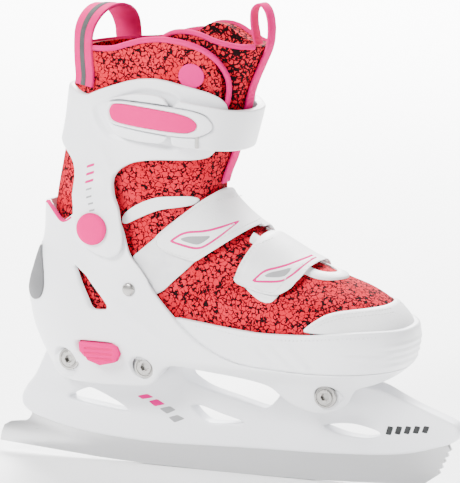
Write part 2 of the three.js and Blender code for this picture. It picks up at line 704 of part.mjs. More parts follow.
function toeShell() {
  const bumper = sheet(bumperOutline, form(BUMPER[0]), form(BUMPER[1]));
  const wings = sheet(wingOutline, form(WING[0]), form(WING[1]));
  const floorOutline = [
    [27 * LENGTHWISE, TOE_FLOOR[0]], [27 * LENGTHWISE, TOE_FLOOR[1]],
    [150 * LENGTHWISE, TOE_FLOOR[1]], [150 * LENGTHWISE, TOE_FLOOR[0]],
  ];
  const plan = loft(form(BUMPER[0] + 0.5), ...TOE_FLOOR);
  return joined(bumper, wings, plan.intersect(prism(floorOutline, -WIDE, WIDE)));
}
add("toe_shell", toeShell(), WHITE);

// The bar that carries the toe half: the button's hook stands in its window, beside a
// notch for each size.
const RACK_HALF = 9;
const WINDOW_HALF = 5.5;
const NOTCH_DEPTH = 1.4;
const NOTCH_HALF = 2;
const HOOK_HALF = 1.6;
const HOOK_REACH = 2.6;
const STEM_HALF = 4;
const GRIP_HEIGHTS = [72.5, 75.5, 78.5]; // of the grooves in the button's face
const GRIP_HALF = 9;
const GRIP_DEPTH = 0.7;
const HOOK_X = BUTTON_X;
const TRAVEL = SIZE_STEP * (SIZES - 1);

function slideRack() {
  const rear = HOOK_X - TRAVEL - 9;
  const windowRear = HOOK_X - TRAVEL - 4;
  const windowFront = HOOK_X + 6;
  const bar = box([rear, -RACK_HALF, RACK[0]], [27 * LENGTHWISE - FIT, RACK_HALF, RACK[1]]);
  const cuts = [
    box([windowRear, -WINDOW_HALF, RACK[0] - 1], [windowFront, WINDOW_HALF, RACK[1] + 1]),
  ];
  for (let size = 0; size < SIZES; size++) {
    const x = HOOK_X - size * SIZE_STEP;
    const low = [x - NOTCH_HALF, -WINDOW_HALF - NOTCH_DEPTH, RACK[0] - 1];
    cuts.push(box(low, [x + NOTCH_HALF, 0, RACK[1] + 1]));
  }
  return without(bar, ...cuts);
}
add("slide_rack", slideRack(), GRAY);

const vampOutline = [
  [0, VAMP_BOTTOM], [0, 200 * UPWARD], [200 * LENGTHWISE, 200 * UPWARD],
  [200 * LENGTHWISE, VAMP_BOTTOM],
];
const toeHalf = softShell(vampOutline, VAMP_BOTTOM).intersect(prism(aheadOfSeam, -WIDE, WIDE));
add("vamp", toeHalf, KNIT);

const capOutline = graded([
  [64, 100], [69, 104.5], [75, 108.5], [82, 110.5], [97, 111.5], [150, 111.5], [150, 99.9],
  [112, 100.2], [92, 100.2], [64, 98],
]);
add("toe_cap", sheet(capOutline, form(PAD[0]), form(PAD[1])), FAUX_LEATHER);

// The white edging round the throat: a U on the crest of the instep.
function throatTrim() {
  const start = SEAM_X + 5.5; // clear of the upper strap as the toe slides
  const end = 76 * LENGTHWISE;
  const half = 17 * CROSSWISE;
  const inner = 10 * CROSSWISE;
  const band = (wide, front) => {
    const round = new THREE.CylinderGeometry(wide, wide, 200, 20);
    round.rotateX(Math.PI / 2);
    round.translate(front - wide, 0, 200 * UPWARD);
    const bar = box([start, -wide, 100], [front - wide, wide, 300]);
    return joined(bar, toSolid(round));
  };
  const crest = graded([[13.5, 140], [40, 126], [78, 112], [90, 140], [60, 170], [13.5, 190]]);
  const skin = sheet(crest, form(PAD[0]), form(PAD[1]));
  const u = without(band(half, end), band(inner, end - (half - inner)));
  return skin.intersect(u);
}
add("throat_trim", throatTrim(), FAUX_LEATHER);

add("strap_lower", crestStrap(lowerSewn, "inner"), FAUX_LEATHER);
add("flap_lower", crestStrap(lowerFlap, "outer"), FAUX_LEATHER);
add("loop_pad_lower", sheet(lowerPad, form(PAD[0]), form(PAD[1]), "outer"), FAUX_LEATHER);

// ---------------------------------------------------------------- size button

function sizeButton() {
  const outer = -(BUTTON_WALL_Y + BUTTON_PROUD);
  const back = outer + BUTTON_DEPTH;
  const hook = [HOOK_X - HOOK_HALF, -WINDOW_HALF + RUNNING, RACK[0] + 0.2];
  const hookEnd = [HOOK_X + HOOK_HALF, hook[1] + HOOK_REACH, STEM[1]];
  const stemLow = [HOOK_X - STEM_HALF, back - 1, STEM[0]];
  const stemHigh = [HOOK_X + STEM_HALF, hookEnd[1], STEM[1]];
  const grips = GRIP_HEIGHTS.map((height) => {
    const z = height * UPWARD;
    const low = [BUTTON_X - GRIP_HALF, outer - 1, z - 0.5];
    return box(low, [BUTTON_X + GRIP_HALF, outer + GRIP_DEPTH, z + 0.5]);
  });
  const cap = without(prism(buttonOutline, outer, back), ...grips);
  return joined(cap, box(stemLow, stemHigh), box(hook, hookEnd));
}
add("size_button", sizeButton(), PINK);

// The leaf behind the button, in the plate's pocket, drawn as flat as a full press makes it.
const leafLow = [BUTTON_X - 9, -LEAF_Y, PLATE_TOP - 2.6];
const leafHigh = [BUTTON_X + 9, -LEAF_Y + LEAF_THICKNESS, PLATE_TOP - 0.2];
add("button_spring", box(leafLow, leafHigh), STEEL);

// ---------------------------------------------------------------- cuff and its boot

// The cuff lies close to the collar and steps out over the heel shell at the ankle.
const CUFF_STEP = [168, 194];
const cuffLift = (layer) => (z) => {
  const share = THREE.MathUtils.smoothstep(z / UPWARD, ...CUFF_STEP);
  return THREE.MathUtils.lerp(ARM[layer], COLLAR_CUFF[layer], share);
};
const cuffOutline = graded([
  [-150, 203], [-150, 237], [-95, 237], [-77, 230.5], [-67, 235], [-45, 242], [-28, 243],
  [-3, 236], [4, 232], [7, 227], [6.5, 220], [0.5, 201], [-5, 194], [-33, 194.3], [-46, 192.5],
  [-55, 188], [-59, 182], [-55, 165], [-53.5, 148], [-53.5, 139.5], [-57, 135.5],
  [-62, 134.5], [-68, 136.5], [-75, 140.5], [-80, 147], [-81, 155], [-81, 178],
  [-84.5, 188.5], [-90, 195], [-98, 200.5], [-104, 203],
]);
const anchorCentre = at(-34, 218);
const ANCHOR_Y = breadthAt(...anchorCentre, form(COLLAR_CUFF[1]));

function cuff() {
  const walls = sheet(cuffOutline, form(cuffLift(0)), form(cuffLift(1)));
  const cuts = [rod(PIVOT_RADIUS + RUNNING, -WIDE, WIDE, PIVOT), rod(2.4, 0, WIDE, anchorCentre, 12)];
  for (const centre of buckleRivets) cuts.push(rod(1.9, -WIDE, 0, centre, 10));
  return without(walls, ...cuts);
}

const collarOutline = [
  ...graded([
    [-150, 258.5], [-88, 258.5], [-59, 259.5], [-50, 262], [-29, 266], [-14, 264.5], [-5, 261.5],
    [1.5, 257], [5.5, 252], [8, 243], [6.5, 231],
  ]),
  ray(UPPER_BOTTOM.front, 96), ray(UPPER_BOTTOM.front, HINGE_RELIEF),
  ray(UPPER_BOTTOM.rear, HINGE_RELIEF), ray(UPPER_BOTTOM.rear, 95),
];
const collar = sheet(collarOutline, form(-COLLAR_WALL), form(0));
add("liner_upper", collar, KNIT);

const TONGUE_NARROW = COLLAR_WALL + 1.6;
const TONGUE_BOTTOM = 199;
const tongueOutline = graded([
  [-33, TONGUE_BOTTOM], [-33, 262], [-28, 268], [-20, 270.5], [-10, 269], [0, 265], [10, 261.5],
  [45, 260.5], [45, TONGUE_BOTTOM],
]);
function tongue() {
  const pad = sheet(tongueOutline, form(-TONGUE_WALL, TONGUE_NARROW), form(0, TONGUE_NARROW));
  const room = sheet(grown(collarOutline, FIT), form(-COLLAR_WALL - FIT), form(4));
  return pad.subtract(room).decompose().sort((a, b) => b.volume() - a.volume())[0];
}
add("tongue", tongue(), KNIT);

// ---------------------------------------------------------------- buckle

const baseOutline = graded([
  [-59, 229], [-52, 232], [-40, 234.5], [-22, 232.5], [-24, 204.5], [-40, 205.5], [-52, 208],
  [-59, 214],
]);
const leverOutline = graded([
  [-58, 219], [-58.5, 224], [-56, 230], [-32, 228], [-14, 225.5], [-6, 222.5], [-3, 217],
  [-4, 212.5], [-10, 209], [-18, 209], [-44, 213.5], [-55, 216],
]);
const insertTop = graded([
  [-56, 219.5], [-56.5, 224], [-54, 228.8], [-31, 226.4], [-15, 223.6], [-9, 221], [-6.5, 217],
  [-8, 213.6], [-12, 211.4], [-20, 212], [-43, 215.4], [-53, 217.5],
]);
// Room for the lever's tail as the strap carries it forward, and for its nose as it turns.
const tailWay = graded([[-56, 218], [-56, 230.6], [-20, 230.6], [-20, 218]]);
const noseWay = graded([[-14, 208.4], [-14, 224.4], [-2, 224], [-2, 209]]);
const buckleRivets = [at(-52, 219), at(-32, 218)];
const LEVER_PIN = at(-5.6, 217);
const PIN_LIFT = LEVER[0] + 1.6;
const PIN_Y = -breadthAt(...LEVER_PIN, form(PIN_LIFT));

add("cuff", cuff(), WHITE);

function upright(radius, x, y, zLow, zHigh, segments = 14) {
  const geometry = new THREE.CylinderGeometry(radius, radius, zHigh - zLow, segments);
  geometry.rotateX(Math.PI / 2);
  geometry.translate(x, y, (zLow + zHigh) / 2);
  return toSolid(geometry);
}

function buckleBase() {
  const block = sheet(baseOutline, form(BUCKLE_BASE[0]), form(BUCKLE_BASE[1]), "outer");
  const faces = [form(LEVER[0] - RUNNING), form(LEVER[1] + 5)];
  const channel = sheet(grown(leverOutline, RUNNING), ...faces, "outer");
  const way = sheet(tailWay, ...faces, "outer");
  const cuts = buckleRivets.map((centre) => rod(1.9, -WIDE, 0, centre, 10));
  return without(block, channel, way, ...cuts);
}
add("buckle_base", buckleBase(), WHITE);

buckleRivets.forEach((centre, i) => {
  const inner = breadthAt(...centre, form(COLLAR_CUFF[0]));
  const outer = breadthAt(...centre, form(LEVER[0] - RUNNING - FIT));
  add("buckle_rivet_" + (i + 1), rod(1.5, -outer, -inner, centre, 10), STEEL);
});

const strapOuter = graded([
  [-21, 231.5], [-4, 227.5], [8, 223.5], [40, 217.5], [40, 193], [0, 199.5], [-18, 202.5],
  [-24, 204.5],
]);
const STRAP_END = -26; // where the strap turns on the inner side of the cuff
const strapInner = graded([
  [STRAP_END, 231.5], [-4, 227.5], [8, 223.5], [40, 217.5], [40, 193], [0, 199.5], [-18, 202.5],
  [STRAP_END, 204.5],
]);

function cuffStrap() {
  const faces = [form(CUFF_STRAP[0]), form(CUFF_STRAP[1])];
  const all = { outer: [-WIDE, 0.01], inner: [0, WIDE] };
  const heights = [190 * UPWARD, 235 * UPWARD];
  const wall = loft(faces[1], ...heights).subtract(loft(faces[0], ...heights, 1));
  const band = joined(
    wall.intersect(prism(strapOuter, ...all.outer)),
    wall.intersect(prism(strapInner, ...all.inner)),
  );
  const [under, over] = [form(0), form(LEVER[1] + 5)];
  const fork = sheet(grown(leverOutline, RUNNING + 0.3), under, over, "outer");
  const way = sheet(noseWay, under, over, "outer");
  const bore = upright(LEVER_PIN_RADIUS + 0.2, LEVER_PIN[0], PIN_Y, 190 * UPWARD, 240 * UPWARD);
  return without(band, fork, way, bore).decompose().sort((a, b) => b.volume() - a.volume())[0];
}
add("cuff_strap", cuffStrap(), WHITE);

function lever() {
  const body = sheet(leverOutline, form(LEVER[0]), form(LEVER[1]), "outer");
  const seat = sheet(grown(insertTop, FIT), form(LEVER[1] - 1.2), form(LEVER[1] + 5), "outer");
  const bore = upright(LEVER_PIN_RADIUS + 0.2, LEVER_PIN[0], PIN_Y, 190 * UPWARD, 240 * UPWARD);
  return without(body, seat, bore);
}
add("lever", lever(), WHITE);
const insertFaces = [form(LEVER[1] - 1.2 + 0.3), form(LEVER[1] + 0.8)];
add("lever_insert", sheet(insertTop, ...insertFaces, "outer"), PINK);
const pinEnds = [202.5, 227.4].map((z) => z * UPWARD);
add("lever_pin", upright(LEVER_PIN_RADIUS, LEVER_PIN[0], PIN_Y, ...pinEnds), STEEL);

// The strap's fixed end: a riveted tab on the inner side of the cuff.
const anchorOutline = graded([
  [-44, 211], [-46, 218], [-44, 225], [-38, 229.5], [STRAP_END - 0.8, 230.5],
  [STRAP_END - 0.8, 205.5], [-38, 206.5],
]);
const anchor = sheet(anchorOutline, form(CUFF_STRAP[0]), form(CUFF_STRAP[1] - 1), "inner");
add("strap_anchor", anchor.subtract(rod(2.4, 0, WIDE, anchorCentre, 12)), WHITE);
const anchorFace = ANCHOR_Y + CUFF_STRAP[1] - COLLAR_CUFF[1] - 1 + 0.8;
const anchorRivet = turned(
  [
    [0, ANCHOR_Y - CUFF_WALL - 0.2], [2, ANCHOR_Y - CUFF_WALL - 0.2], [2, anchorFace],
    [RIVET_RADIUS, anchorFace], [RIVET_RADIUS * 0.8, anchorFace + 1.2], [0, anchorFace + 1.8],
  ],
  anchorCentre,
  16,
);
add("strap_rivet", anchorRivet, STEEL);

// ---------------------------------------------------------------- pull loops

const vector = (x, y, z) => new THREE.Vector3(x, y, z);

// Webbing from one rear corner of the collar over to the other. Its ends lie in the plane
// that touches the collar, and slide back along it as they rise.
function heelLoop() {
  const lean = THREE.MathUtils.degToRad(27);
  const spring = 262 * UPWARD;
  const rise = 19 * UPWARD;
  const endPlace = (z) => {
    const along = vector(Math.cos(lean), -Math.sin(lean), 0);
    const outward = vector(-Math.sin(lean), -Math.cos(lean), 0);
    const rear = rearAt(z);
    const around = Array.from({ length: 60 }, (_, i) => {
      const x = rear + i * 0.7 * LENGTHWISE;
      return vector(x, -breadthAt(x, z, form(FIT)), z);
    });
    around.sort((a, b) => b.dot(outward) - a.dot(outward));
    const back = THREE.MathUtils.mapLinear(z / UPWARD, 240.5, 262, 0, 9);
    return around[0].addScaledVector(along, -back).addScaledVector(outward, 0.3);
  };
  const lower = [240.5, 248, 255].map((z) => endPlace(z * UPWARD));
  const corner = endPlace(spring);
  const span = -corner.y;
  const centres = [...lower];
  for (let i = 0; i <= 12; i++) {
    const angle = Math.PI - (Math.PI * i) / 12;
    centres.push(vector(corner.x, span * Math.cos(angle), spring + rise * Math.sin(angle)));
  }
  centres.push(...lower.toReversed().map(({ x, y, z }) => vector(x, -y, z)));
  const stations = centres.map((centre) => {
    const angle = lean * THREE.MathUtils.clamp(centre.y / span, -1, 1);
    return { centre, across: vector(Math.cos(angle), Math.sin(angle), 0) };
  });
  return strip(stations, WEBBING_WIDTH, WEBBING_THICKNESS);
}
add("heel_loop", heelLoop(), PINK_WEBBING);

// Ribbon up the front of the tongue, doubled back on itself to make a finger loop.
function tongueLoop() {
  const ribbon = [201, 212, 224, 236, 248, 256].map((z) => z * UPWARD);
  const path = ribbon.map((z) => [frontAt(z) + 0.7, z]);
  path.push(
    ...graded([
      [25.5, 264], [25.8, 273], [24, 281], [20.5, 284.5], [17, 282], [16.2, 276], [17.5, 267],
    ]),
  );
  const across = vector(0, 1, 0);
  const stations = path.map(([x, z]) => ({ centre: vector(x, 0, z), across }));
  return strip(stations, RIBBON_WIDTH, RIBBON_THICKNESS);
}
add("tongue_loop", tongueLoop(), PINK_WEBBING);

export default skate;
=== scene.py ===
# %% [markdown]
# # A child's adjustable ice skate
# The imported CAD model gives the frame: every piece below is made in the same place, in the
# same axes (+X to the toe, +Y to the inner side of the foot, +Z up), and moves with a body
# of that frame, except the two knit shells, which are only baked where they stand. Lengths
# are written in millimetres, as a boot maker writes them, and become metres when a mesh is made.

# %% The frame
import json
import math

import bmesh
import bpy
import numpy as np
from mathutils import Matrix, Vector

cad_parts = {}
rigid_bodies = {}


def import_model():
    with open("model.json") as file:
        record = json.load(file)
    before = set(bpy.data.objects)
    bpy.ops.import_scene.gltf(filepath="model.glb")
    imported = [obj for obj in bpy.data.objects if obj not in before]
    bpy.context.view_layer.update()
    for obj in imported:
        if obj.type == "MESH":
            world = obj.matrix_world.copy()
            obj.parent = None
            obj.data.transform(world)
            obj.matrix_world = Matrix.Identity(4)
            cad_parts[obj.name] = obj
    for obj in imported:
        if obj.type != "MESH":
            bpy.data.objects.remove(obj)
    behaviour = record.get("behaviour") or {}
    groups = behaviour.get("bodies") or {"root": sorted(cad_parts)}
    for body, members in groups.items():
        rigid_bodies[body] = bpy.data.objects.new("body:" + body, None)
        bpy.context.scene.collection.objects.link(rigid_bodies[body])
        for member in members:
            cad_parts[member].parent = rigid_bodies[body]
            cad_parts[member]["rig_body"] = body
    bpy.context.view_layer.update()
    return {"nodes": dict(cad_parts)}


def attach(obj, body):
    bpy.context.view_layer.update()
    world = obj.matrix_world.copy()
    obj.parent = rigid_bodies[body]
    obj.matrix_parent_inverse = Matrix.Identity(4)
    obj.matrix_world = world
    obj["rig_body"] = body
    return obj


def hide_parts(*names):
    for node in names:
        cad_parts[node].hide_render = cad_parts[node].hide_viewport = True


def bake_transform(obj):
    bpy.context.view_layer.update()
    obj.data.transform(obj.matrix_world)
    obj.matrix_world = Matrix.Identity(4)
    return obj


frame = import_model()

MM = 0.001


# %% [markdown]
# ## The form of the boot
# All the soft and moulded pieces follow one foot-shaped surface, so that surface is a
# formula: a back edge and a front edge in side view, a width along the foot and up the
# shaft, and a rounding from the sides into both edges. A piece is then only an outline in
# side view and two distances from that surface. Modelling each shell by hand would let
# neighbours cut through each other.

# %% Curves through a few measured points
def smooth_curve(points):
    """A smooth function through (input, output) points, straight beyond its ends."""
    at, value = np.array(points, float).T
    slope = np.gradient(value, at)
    slope[1:-1] = (value[2:] - value[:-2]) / (at[2:] - at[:-2])

    def curve(t):
        t = np.asarray(t, float)
        i = np.clip(np.searchsorted(at, t, side="right") - 1, 0, len(at) - 2)
        step = at[i + 1] - at[i]
        u = np.clip((t - at[i]) / step, 0, 1)
        blend = u * u * (3 - 2 * u)
        ease = step * u * (1 - u)
        inside = value[i] * (1 - blend) + value[i + 1] * blend
        inside = inside + ease * (slope[i] * (1 - u) - slope[i + 1] * u)
        before = np.minimum(t - at[0], 0) * slope[0]
        after = np.maximum(t - at[-1], 0) * slope[-1]
        return inside + before + after

    return curve


rear_edge = smooth_curve([
    (60, -110), (75, -114), (90, -119.5), (108, -122.5), (124, -118.5), (142, -111.5),
    (165, -109.5), (192, -104), (215, -99), (238, -95.5), (262, -90), (282, -86)])
front_edge = smooth_curve([
    (60, 104), (74, 109.5), (90, 113.5), (100, 112), (107, 107), (114, 98), (120, 87),
    (125, 73), (132, 53.5), (142, 34), (153, 14.5), (163, 2), (171, -4.5), (180, -4),
    (194, 1.5), (215, 8), (235, 13), (258, 23), (282, 33)])
foot_width = smooth_curve([(-125, 31), (-85, 32), (-40, 33.5), (0, 37), (40, 41), (75, 42), (115, 40)])
shaft_width = smooth_curve([(140, 34), (165, 34.5), (200, 36.5), (240, 38.5), (275, 40)])


# %% From side view to the surface
HEEL_ROUND = 36
FRONT_ROUND = 48
ROUNDNESS = 2.3


def smoothstep(value, low, high):
    share = np.clip((value - low) / (high - low), 0, 1)
    return share * share * (3 - 2 * share)


def slant(edge, z):
    return np.hypot(1, (edge(z + 1) - edge(z - 1)) / 2)


def round_off(share):
    share = np.clip(share, 0, 1)
    return (1 - (1 - share) ** ROUNDNESS) ** (1 / ROUNDNESS)


def extent(z, lift):
    return (rear_edge(z) - lift * slant(rear_edge, z), front_edge(z) + lift * slant(front_edge, z))


def breadth(x, z, lift, narrow=0.0):
    """Half of the surface's width at a point of the side view."""
    rear, front = extent(z, lift)
    high = smoothstep(z, 100, 160)
    width = foot_width(x) * (1 - high) + shaft_width(z) * high
    heel = round_off((x - rear) / ((HEEL_ROUND + lift) * slant(rear_edge, z)))
    front_round = (FRONT_ROUND + lift + 2 * narrow) * slant(front_edge, z)
    return (width + lift - narrow) * heel * round_off((front - x) / front_round)


def boot_surface(t, z, lift, narrow=0.0):
    """t runs from -1, the front edge, round the outer side to 0, the back edge, and on to 1."""
    rear, front = extent(z, lift)
    x = rear + (front - rear) * (1 - np.cos(np.pi * np.abs(t))) / 2
    return np.stack([x, np.sign(t) * breadth(x, z, lift, narrow), z + 0 * x], axis=-1)


print("width over the ball of the foot:", round(2 * float(breadth(50, 92, 0)), 1), "mm")


# %% [markdown]
# ## A wall trimmed from the form
# A moulded shell or a leather strap is a wall of even thickness with a rounded rim. Here a
# fine grid on the surface is cut along the piece's outline, and cut again along lines that
# run inside the rim, so that the rounding has its own rows of points. Cutting with booleans
# would leave ragged rims on such thin walls.

# %% Outlines
def rounded(outline, rounds=2, share=0.22):
    """An outline with its corners cut, and cut again."""
    points = np.array(outline, float)
    for _ in range(rounds):
        after = np.roll(points, -1, axis=0)
        points = np.stack([points + share * (after - points), after - share * (after - points)], 1)
        points = points.reshape(-1, 2)
    return points


def depth_inside(places, outline):
    """Distance of each place from the outline: positive inside, negative outside."""
    outline = np.asarray(outline, float)
    after = np.roll(outline, -1, axis=0)
    nearest = np.full(len(places), 1e9)
    inside = np.zeros(len(places), bool)
    for (ax, az), (bx, bz) in zip(outline, after):
        run = np.array([bx - ax, bz - az])
        rel = places - [ax, az]
        along = np.clip(rel @ run / max(run @ run, 1e-12), 0, 1)
        nearest = np.minimum(nearest, np.hypot(*(rel - along[:, None] * run).T))
        if az != bz:
            crosses = (az > places[:, 1]) != (bz > places[:, 1])
            inside ^= crosses & (places[:, 0] < ax + (places[:, 1] - az) * (bx - ax) / (bz - az))
    return np.where(inside, nearest, -nearest)


# %% Cutting a grid along lines of equal depth
def cut_faces(faces, values, level, keep_below):
    """Splits faces where values crosses level. values is a list of rows, depth last."""
    made = {}
    kept = []

    def crossing(a, b):
        key = (min(a, b), max(a, b))
        if key not in made:
            low, high = values[key[0]], values[key[1]]
            share = (level - low[-1]) / (high[-1] - low[-1])
            made[key] = len(values)
            values.append([p + share * (q - p) for p, q in zip(low, high)][:-1] + [level])
        return made[key]

    for face in faces:
        above = [values[v][-1] >= level for v in face]
        if all(above):
            kept.append(face)
            continue
        if not any(above):
            if keep_below:
                kept.append(face)
            continue
        sides = ([], [])
        for k, v in enumerate(face):
            sides[above[k]].append(v)
            after = (k + 1) % len(face)
            if above[k] != above[after]:
                cut = crossing(v, face[after])
                sides[0].append(cut)
                sides[1].append(cut)
        kept.append(sides[1])
        if keep_below:
            kept.append(sides[0])
    return [f for f in kept if len(set(f)) > 2]


def new_object(name, points, faces, material=None, sharp=50):
    """A mesh object from points in millimetres, smooth except at real corners."""
    mesh = bpy.data.meshes.new(name)
    mesh.from_pydata((np.asarray(points) * MM).tolist(), [], [list(f) for f in faces])
    work = bmesh.new()
    work.from_mesh(mesh)
    bmesh.ops.remove_doubles(work, verts=work.verts, dist=2e-6)
    bmesh.ops.dissolve_degenerate(work, edges=work.edges, dist=1e-6)
    loose = [v for v in work.verts if not v.link_faces]
    bmesh.ops.delete(work, geom=loose, context="VERTS")
    bmesh.ops.recalc_face_normals(work, faces=work.faces)
    work.to_mesh(mesh)
    work.free()
    mesh.polygons.foreach_set("use_smooth", [True] * len(mesh.polygons))
    mesh.set_sharp_from_angle(angle=math.radians(sharp))
    obj = bpy.data.objects.new(name, mesh)
    bpy.context.scene.collection.objects.link(obj)
    if material:
        mesh.materials.append(material)
    return obj


# %% The wall itself
SIDES = {"both": (-1.0, 1.0), "outer": (-1.0, 0.0), "inner": (0.0, 1.0)}
HALF_GIRTH = 150  # round one side of the boot, for the number of grid columns
MIDDLE_LIFT = 2.0  # where outlines are measured, amid the layers


def lifts_at(lift, x, z):
    """A lift given as a number, or as a function of the place in side view."""
    return lift(x, z) if callable(lift) else np.full(len(z), float(lift))


def wall(name, outline, inner, outer, side="both", cell=1.6, edge=0.8, relief=None, holes=(),
         surface=boot_surface, narrow=0.0):
    """A wall between two lifts inside a side outline, its outer rim rounded over edge."""
    outline = np.asarray(outline, float)
    low, high = outline[:, 1].min(), outline[:, 1].max()
    start, stop = SIDES[side]
    rows = max(int((high - low) / cell) + 2, 4)
    around = int((stop - start) * HALF_GIRTH / cell)
    z = np.linspace(low - 0.5, high + 0.5, rows)
    t = np.linspace(start, stop, around + 1)
    grid_t, grid_z = np.meshgrid(t, z, indexing="ij")
    flat_t, flat_z = grid_t.ravel(), grid_z.ravel()
    base = surface(flat_t, flat_z, MIDDLE_LIFT, narrow)
    places = base[:, [0, 2]]
    depth = depth_inside(places, outline)
    for hole in holes:
        depth = np.minimum(depth, -depth_inside(places, hole))
    index = np.arange((around + 1) * rows).reshape(around + 1, rows)
    corners = [index[:-1, :-1], index[:-1, 1:], index[1:, 1:], index[1:, :-1]]
    quads = np.stack(corners, -1).reshape(-1, 4)
    quads = quads[depth[quads].max(1) >= 0].tolist()
    values = np.stack([flat_t, flat_z, depth], 1).tolist()
    quads = cut_faces(quads, values, 0.0, False)
    for level in (0.3 * edge, edge):
        quads = cut_faces(quads, values, level, True)
    used = sorted({v for face in quads for v in face})
    renumber = {v: i for i, v in enumerate(used)}
    faces = [[renumber[v] for v in face] for face in quads]
    t, z, depth = np.array(values)[used].T
    x = surface(t, z, MIDDLE_LIFT, narrow)[:, 0]
    thin, thick = lifts_at(inner, x, z), lifts_at(outer, x, z)
    near_rim = np.clip(edge - depth, 0, edge)
    drop = edge - np.sqrt(np.maximum(edge**2 - near_rim**2, 0))
    drop = np.minimum(drop, (thick - thin) * 0.8)
    lift = thick - drop + (relief(x, z) if relief else 0)
    outside, inside = surface(t, z, lift, narrow), surface(t, z, thin, narrow)
    count = len(used)
    edges = {(a, b): True for face in faces for a, b in zip(face, face[1:] + face[:1])}
    closed_ring = side == "both"
    front = np.abs(np.abs(t) - 1) < 1e-9
    rim = [
        [a, a + count, b + count, b]
        for a, b in edges
        if (b, a) not in edges and not (closed_ring and front[a] and front[b])
    ]
    shell = faces + [[v + count for v in reversed(face)] for face in faces] + rim
    return new_object(name, np.concatenate([outside, inside]), shell)


# %% [markdown]
# ## Strips, cords and piping
# Bindings, piping, webbing and seams follow a path. A sweep carries a small cross-section
# along the path and keeps it square to the surface, which a plain bevelled curve would not.

# %% Paths on the surface, and a sweep along a path
def through(points, count=60):
    """Evenly spaced points on a smooth curve through the given ones."""
    points = np.asarray(points, float)
    reach = np.concatenate([[0], np.cumsum(np.linalg.norm(np.diff(points, axis=0), axis=1))])
    where = np.linspace(0, reach[-1], count)
    return np.stack([smooth_curve(list(zip(reach, column)))(where) for column in points.T], 1)


def on_boot(points, lift, side=-1, count=80, narrow=0.0):
    """A path on the form through side-view points, and the way out of the surface there."""
    x, z = through(points, count).T
    here = np.stack([x, side * breadth(x, z, lift, narrow), z], 1)
    step = 0.5
    around_x = side * (breadth(x + step, z, lift, narrow) - breadth(x - step, z, lift, narrow))
    around_z = side * (breadth(x, z + step, lift, narrow) - breadth(x, z - step, lift, narrow))
    out = np.stack([-around_x * side, np.full(len(x), 2 * step), -around_z * side], 1)
    out[:, 1] *= side
    out /= np.linalg.norm(out, axis=1)[:, None]
    return here, out


def sweep(name, path, out, profile):
    """Carries (across, out) profile points along a path and caps both ends."""
    ahead = np.gradient(path, axis=0)
    ahead /= np.linalg.norm(ahead, axis=1)[:, None]
    out = out - (out * ahead).sum(1)[:, None] * ahead
    out /= np.linalg.norm(out, axis=1)[:, None]
    across = np.cross(ahead, out)
    profile = np.asarray(profile, float)
    rings = path[:, None] + across[:, None] * profile[:, :1] + out[:, None] * profile[:, 1:]
    n, k = len(path), len(profile)
    faces = []
    for i in range(n - 1):
        for j in range(k):
            after = (j + 1) % k
            faces.append([i * k + j, i * k + after, (i + 1) * k + after, (i + 1) * k + j])
    faces.append(list(range(k))[::-1])
    faces.append([(n - 1) * k + j for j in range(k)])
    return new_object(name, rings.reshape(-1, 3), faces)


def flat_band(width, thickness, corner=0.35):
    """Cross-section of a flat band that lies on its path."""
    half = width / 2
    corner = min(corner, thickness / 2.2)
    points = []
    for cx, cy, start in ((half - corner, corner, -90), (half - corner, thickness - corner, 0),
                          (corner - half, thickness - corner, 90), (corner - half, corner, 180)):
        for turn in (0, 45, 90):
            angle = math.radians(start + turn)
            points.append((cx + corner * math.cos(angle), cy + corner * math.sin(angle)))
    return points


def half_round(width, height, steps=8):
    """Cross-section of a binding or piping: flat below and crowned above."""
    arc = [math.pi * i / steps for i in range(steps + 1)]
    return [(width / 2 * math.cos(a), height * math.sin(a) ** 0.8) for a in arc]


# %% [markdown]
# ## Finishes
# The skate is mostly two things: white moulded plastic and a coral knit printed with a
# broken black crackle. Effects that several finishes share, such as a fine grain and a
# weave, are node groups; the shader and its constant values stay in each material.

# %% A small kit for building node trees
def new_group(name, inputs, outputs):
    """An empty shader group. An input whose value is None carries a place."""
    group = bpy.data.node_groups.new(name, "ShaderNodeTree")
    for label, value in inputs.items():
        kind = "NodeSocketVector" if value is None else "NodeSocketFloat"
        socket = group.interface.new_socket(label, in_out="INPUT", socket_type=kind)
        if value is not None:
            socket.default_value = value
    for label in outputs:
        group.interface.new_socket(label, in_out="OUTPUT", socket_type="NodeSocketFloat")
    return group, group.nodes.new("NodeGroupInput"), group.nodes.new("NodeGroupOutput")


def node(tree, kind, links=(), **settings):
    """Adds a node, links (input, source socket or constant) pairs and sets properties."""
    made = tree.nodes.new(kind)
    for key, value in settings.items():
        setattr(made, key, value)
    for slot_name, source in links:
        target = made.inputs[slot_name]
        if isinstance(source, bpy.types.NodeSocket):
            tree.links.new(source, target)
        else:
            target.default_value = source
    return made


def maths(tree, operation, a, b):
    return node(tree, "ShaderNodeMath", [(0, a), (1, b)], operation=operation).outputs[0]


# %% Shared effects
def grain_group():
    """Fine moulded or leather grain: a height between 0 and 1."""
    group, start, end = new_group(
        "fine_grain", {"Place": None, "Scale": 900.0, "Coarse": 0.35}, ["Height"])
    fine = node(group, "ShaderNodeTexNoise", [("Vector", start.outputs["Place"]),
                                              ("Scale", start.outputs["Scale"]), ("Detail", 3.0)])
    cells = node(group, "ShaderNodeTexVoronoi", [("Vector", start.outputs["Place"]),
                                                 ("Scale", start.outputs["Scale"])])
    mixed = node(group, "ShaderNodeMix", [("Factor", start.outputs["Coarse"]),
                                          ("A", fine.outputs["Fac"]),
                                          ("B", cells.outputs["Distance"])])
    group.links.new(mixed.outputs["Result"], end.inputs["Height"])
    return group


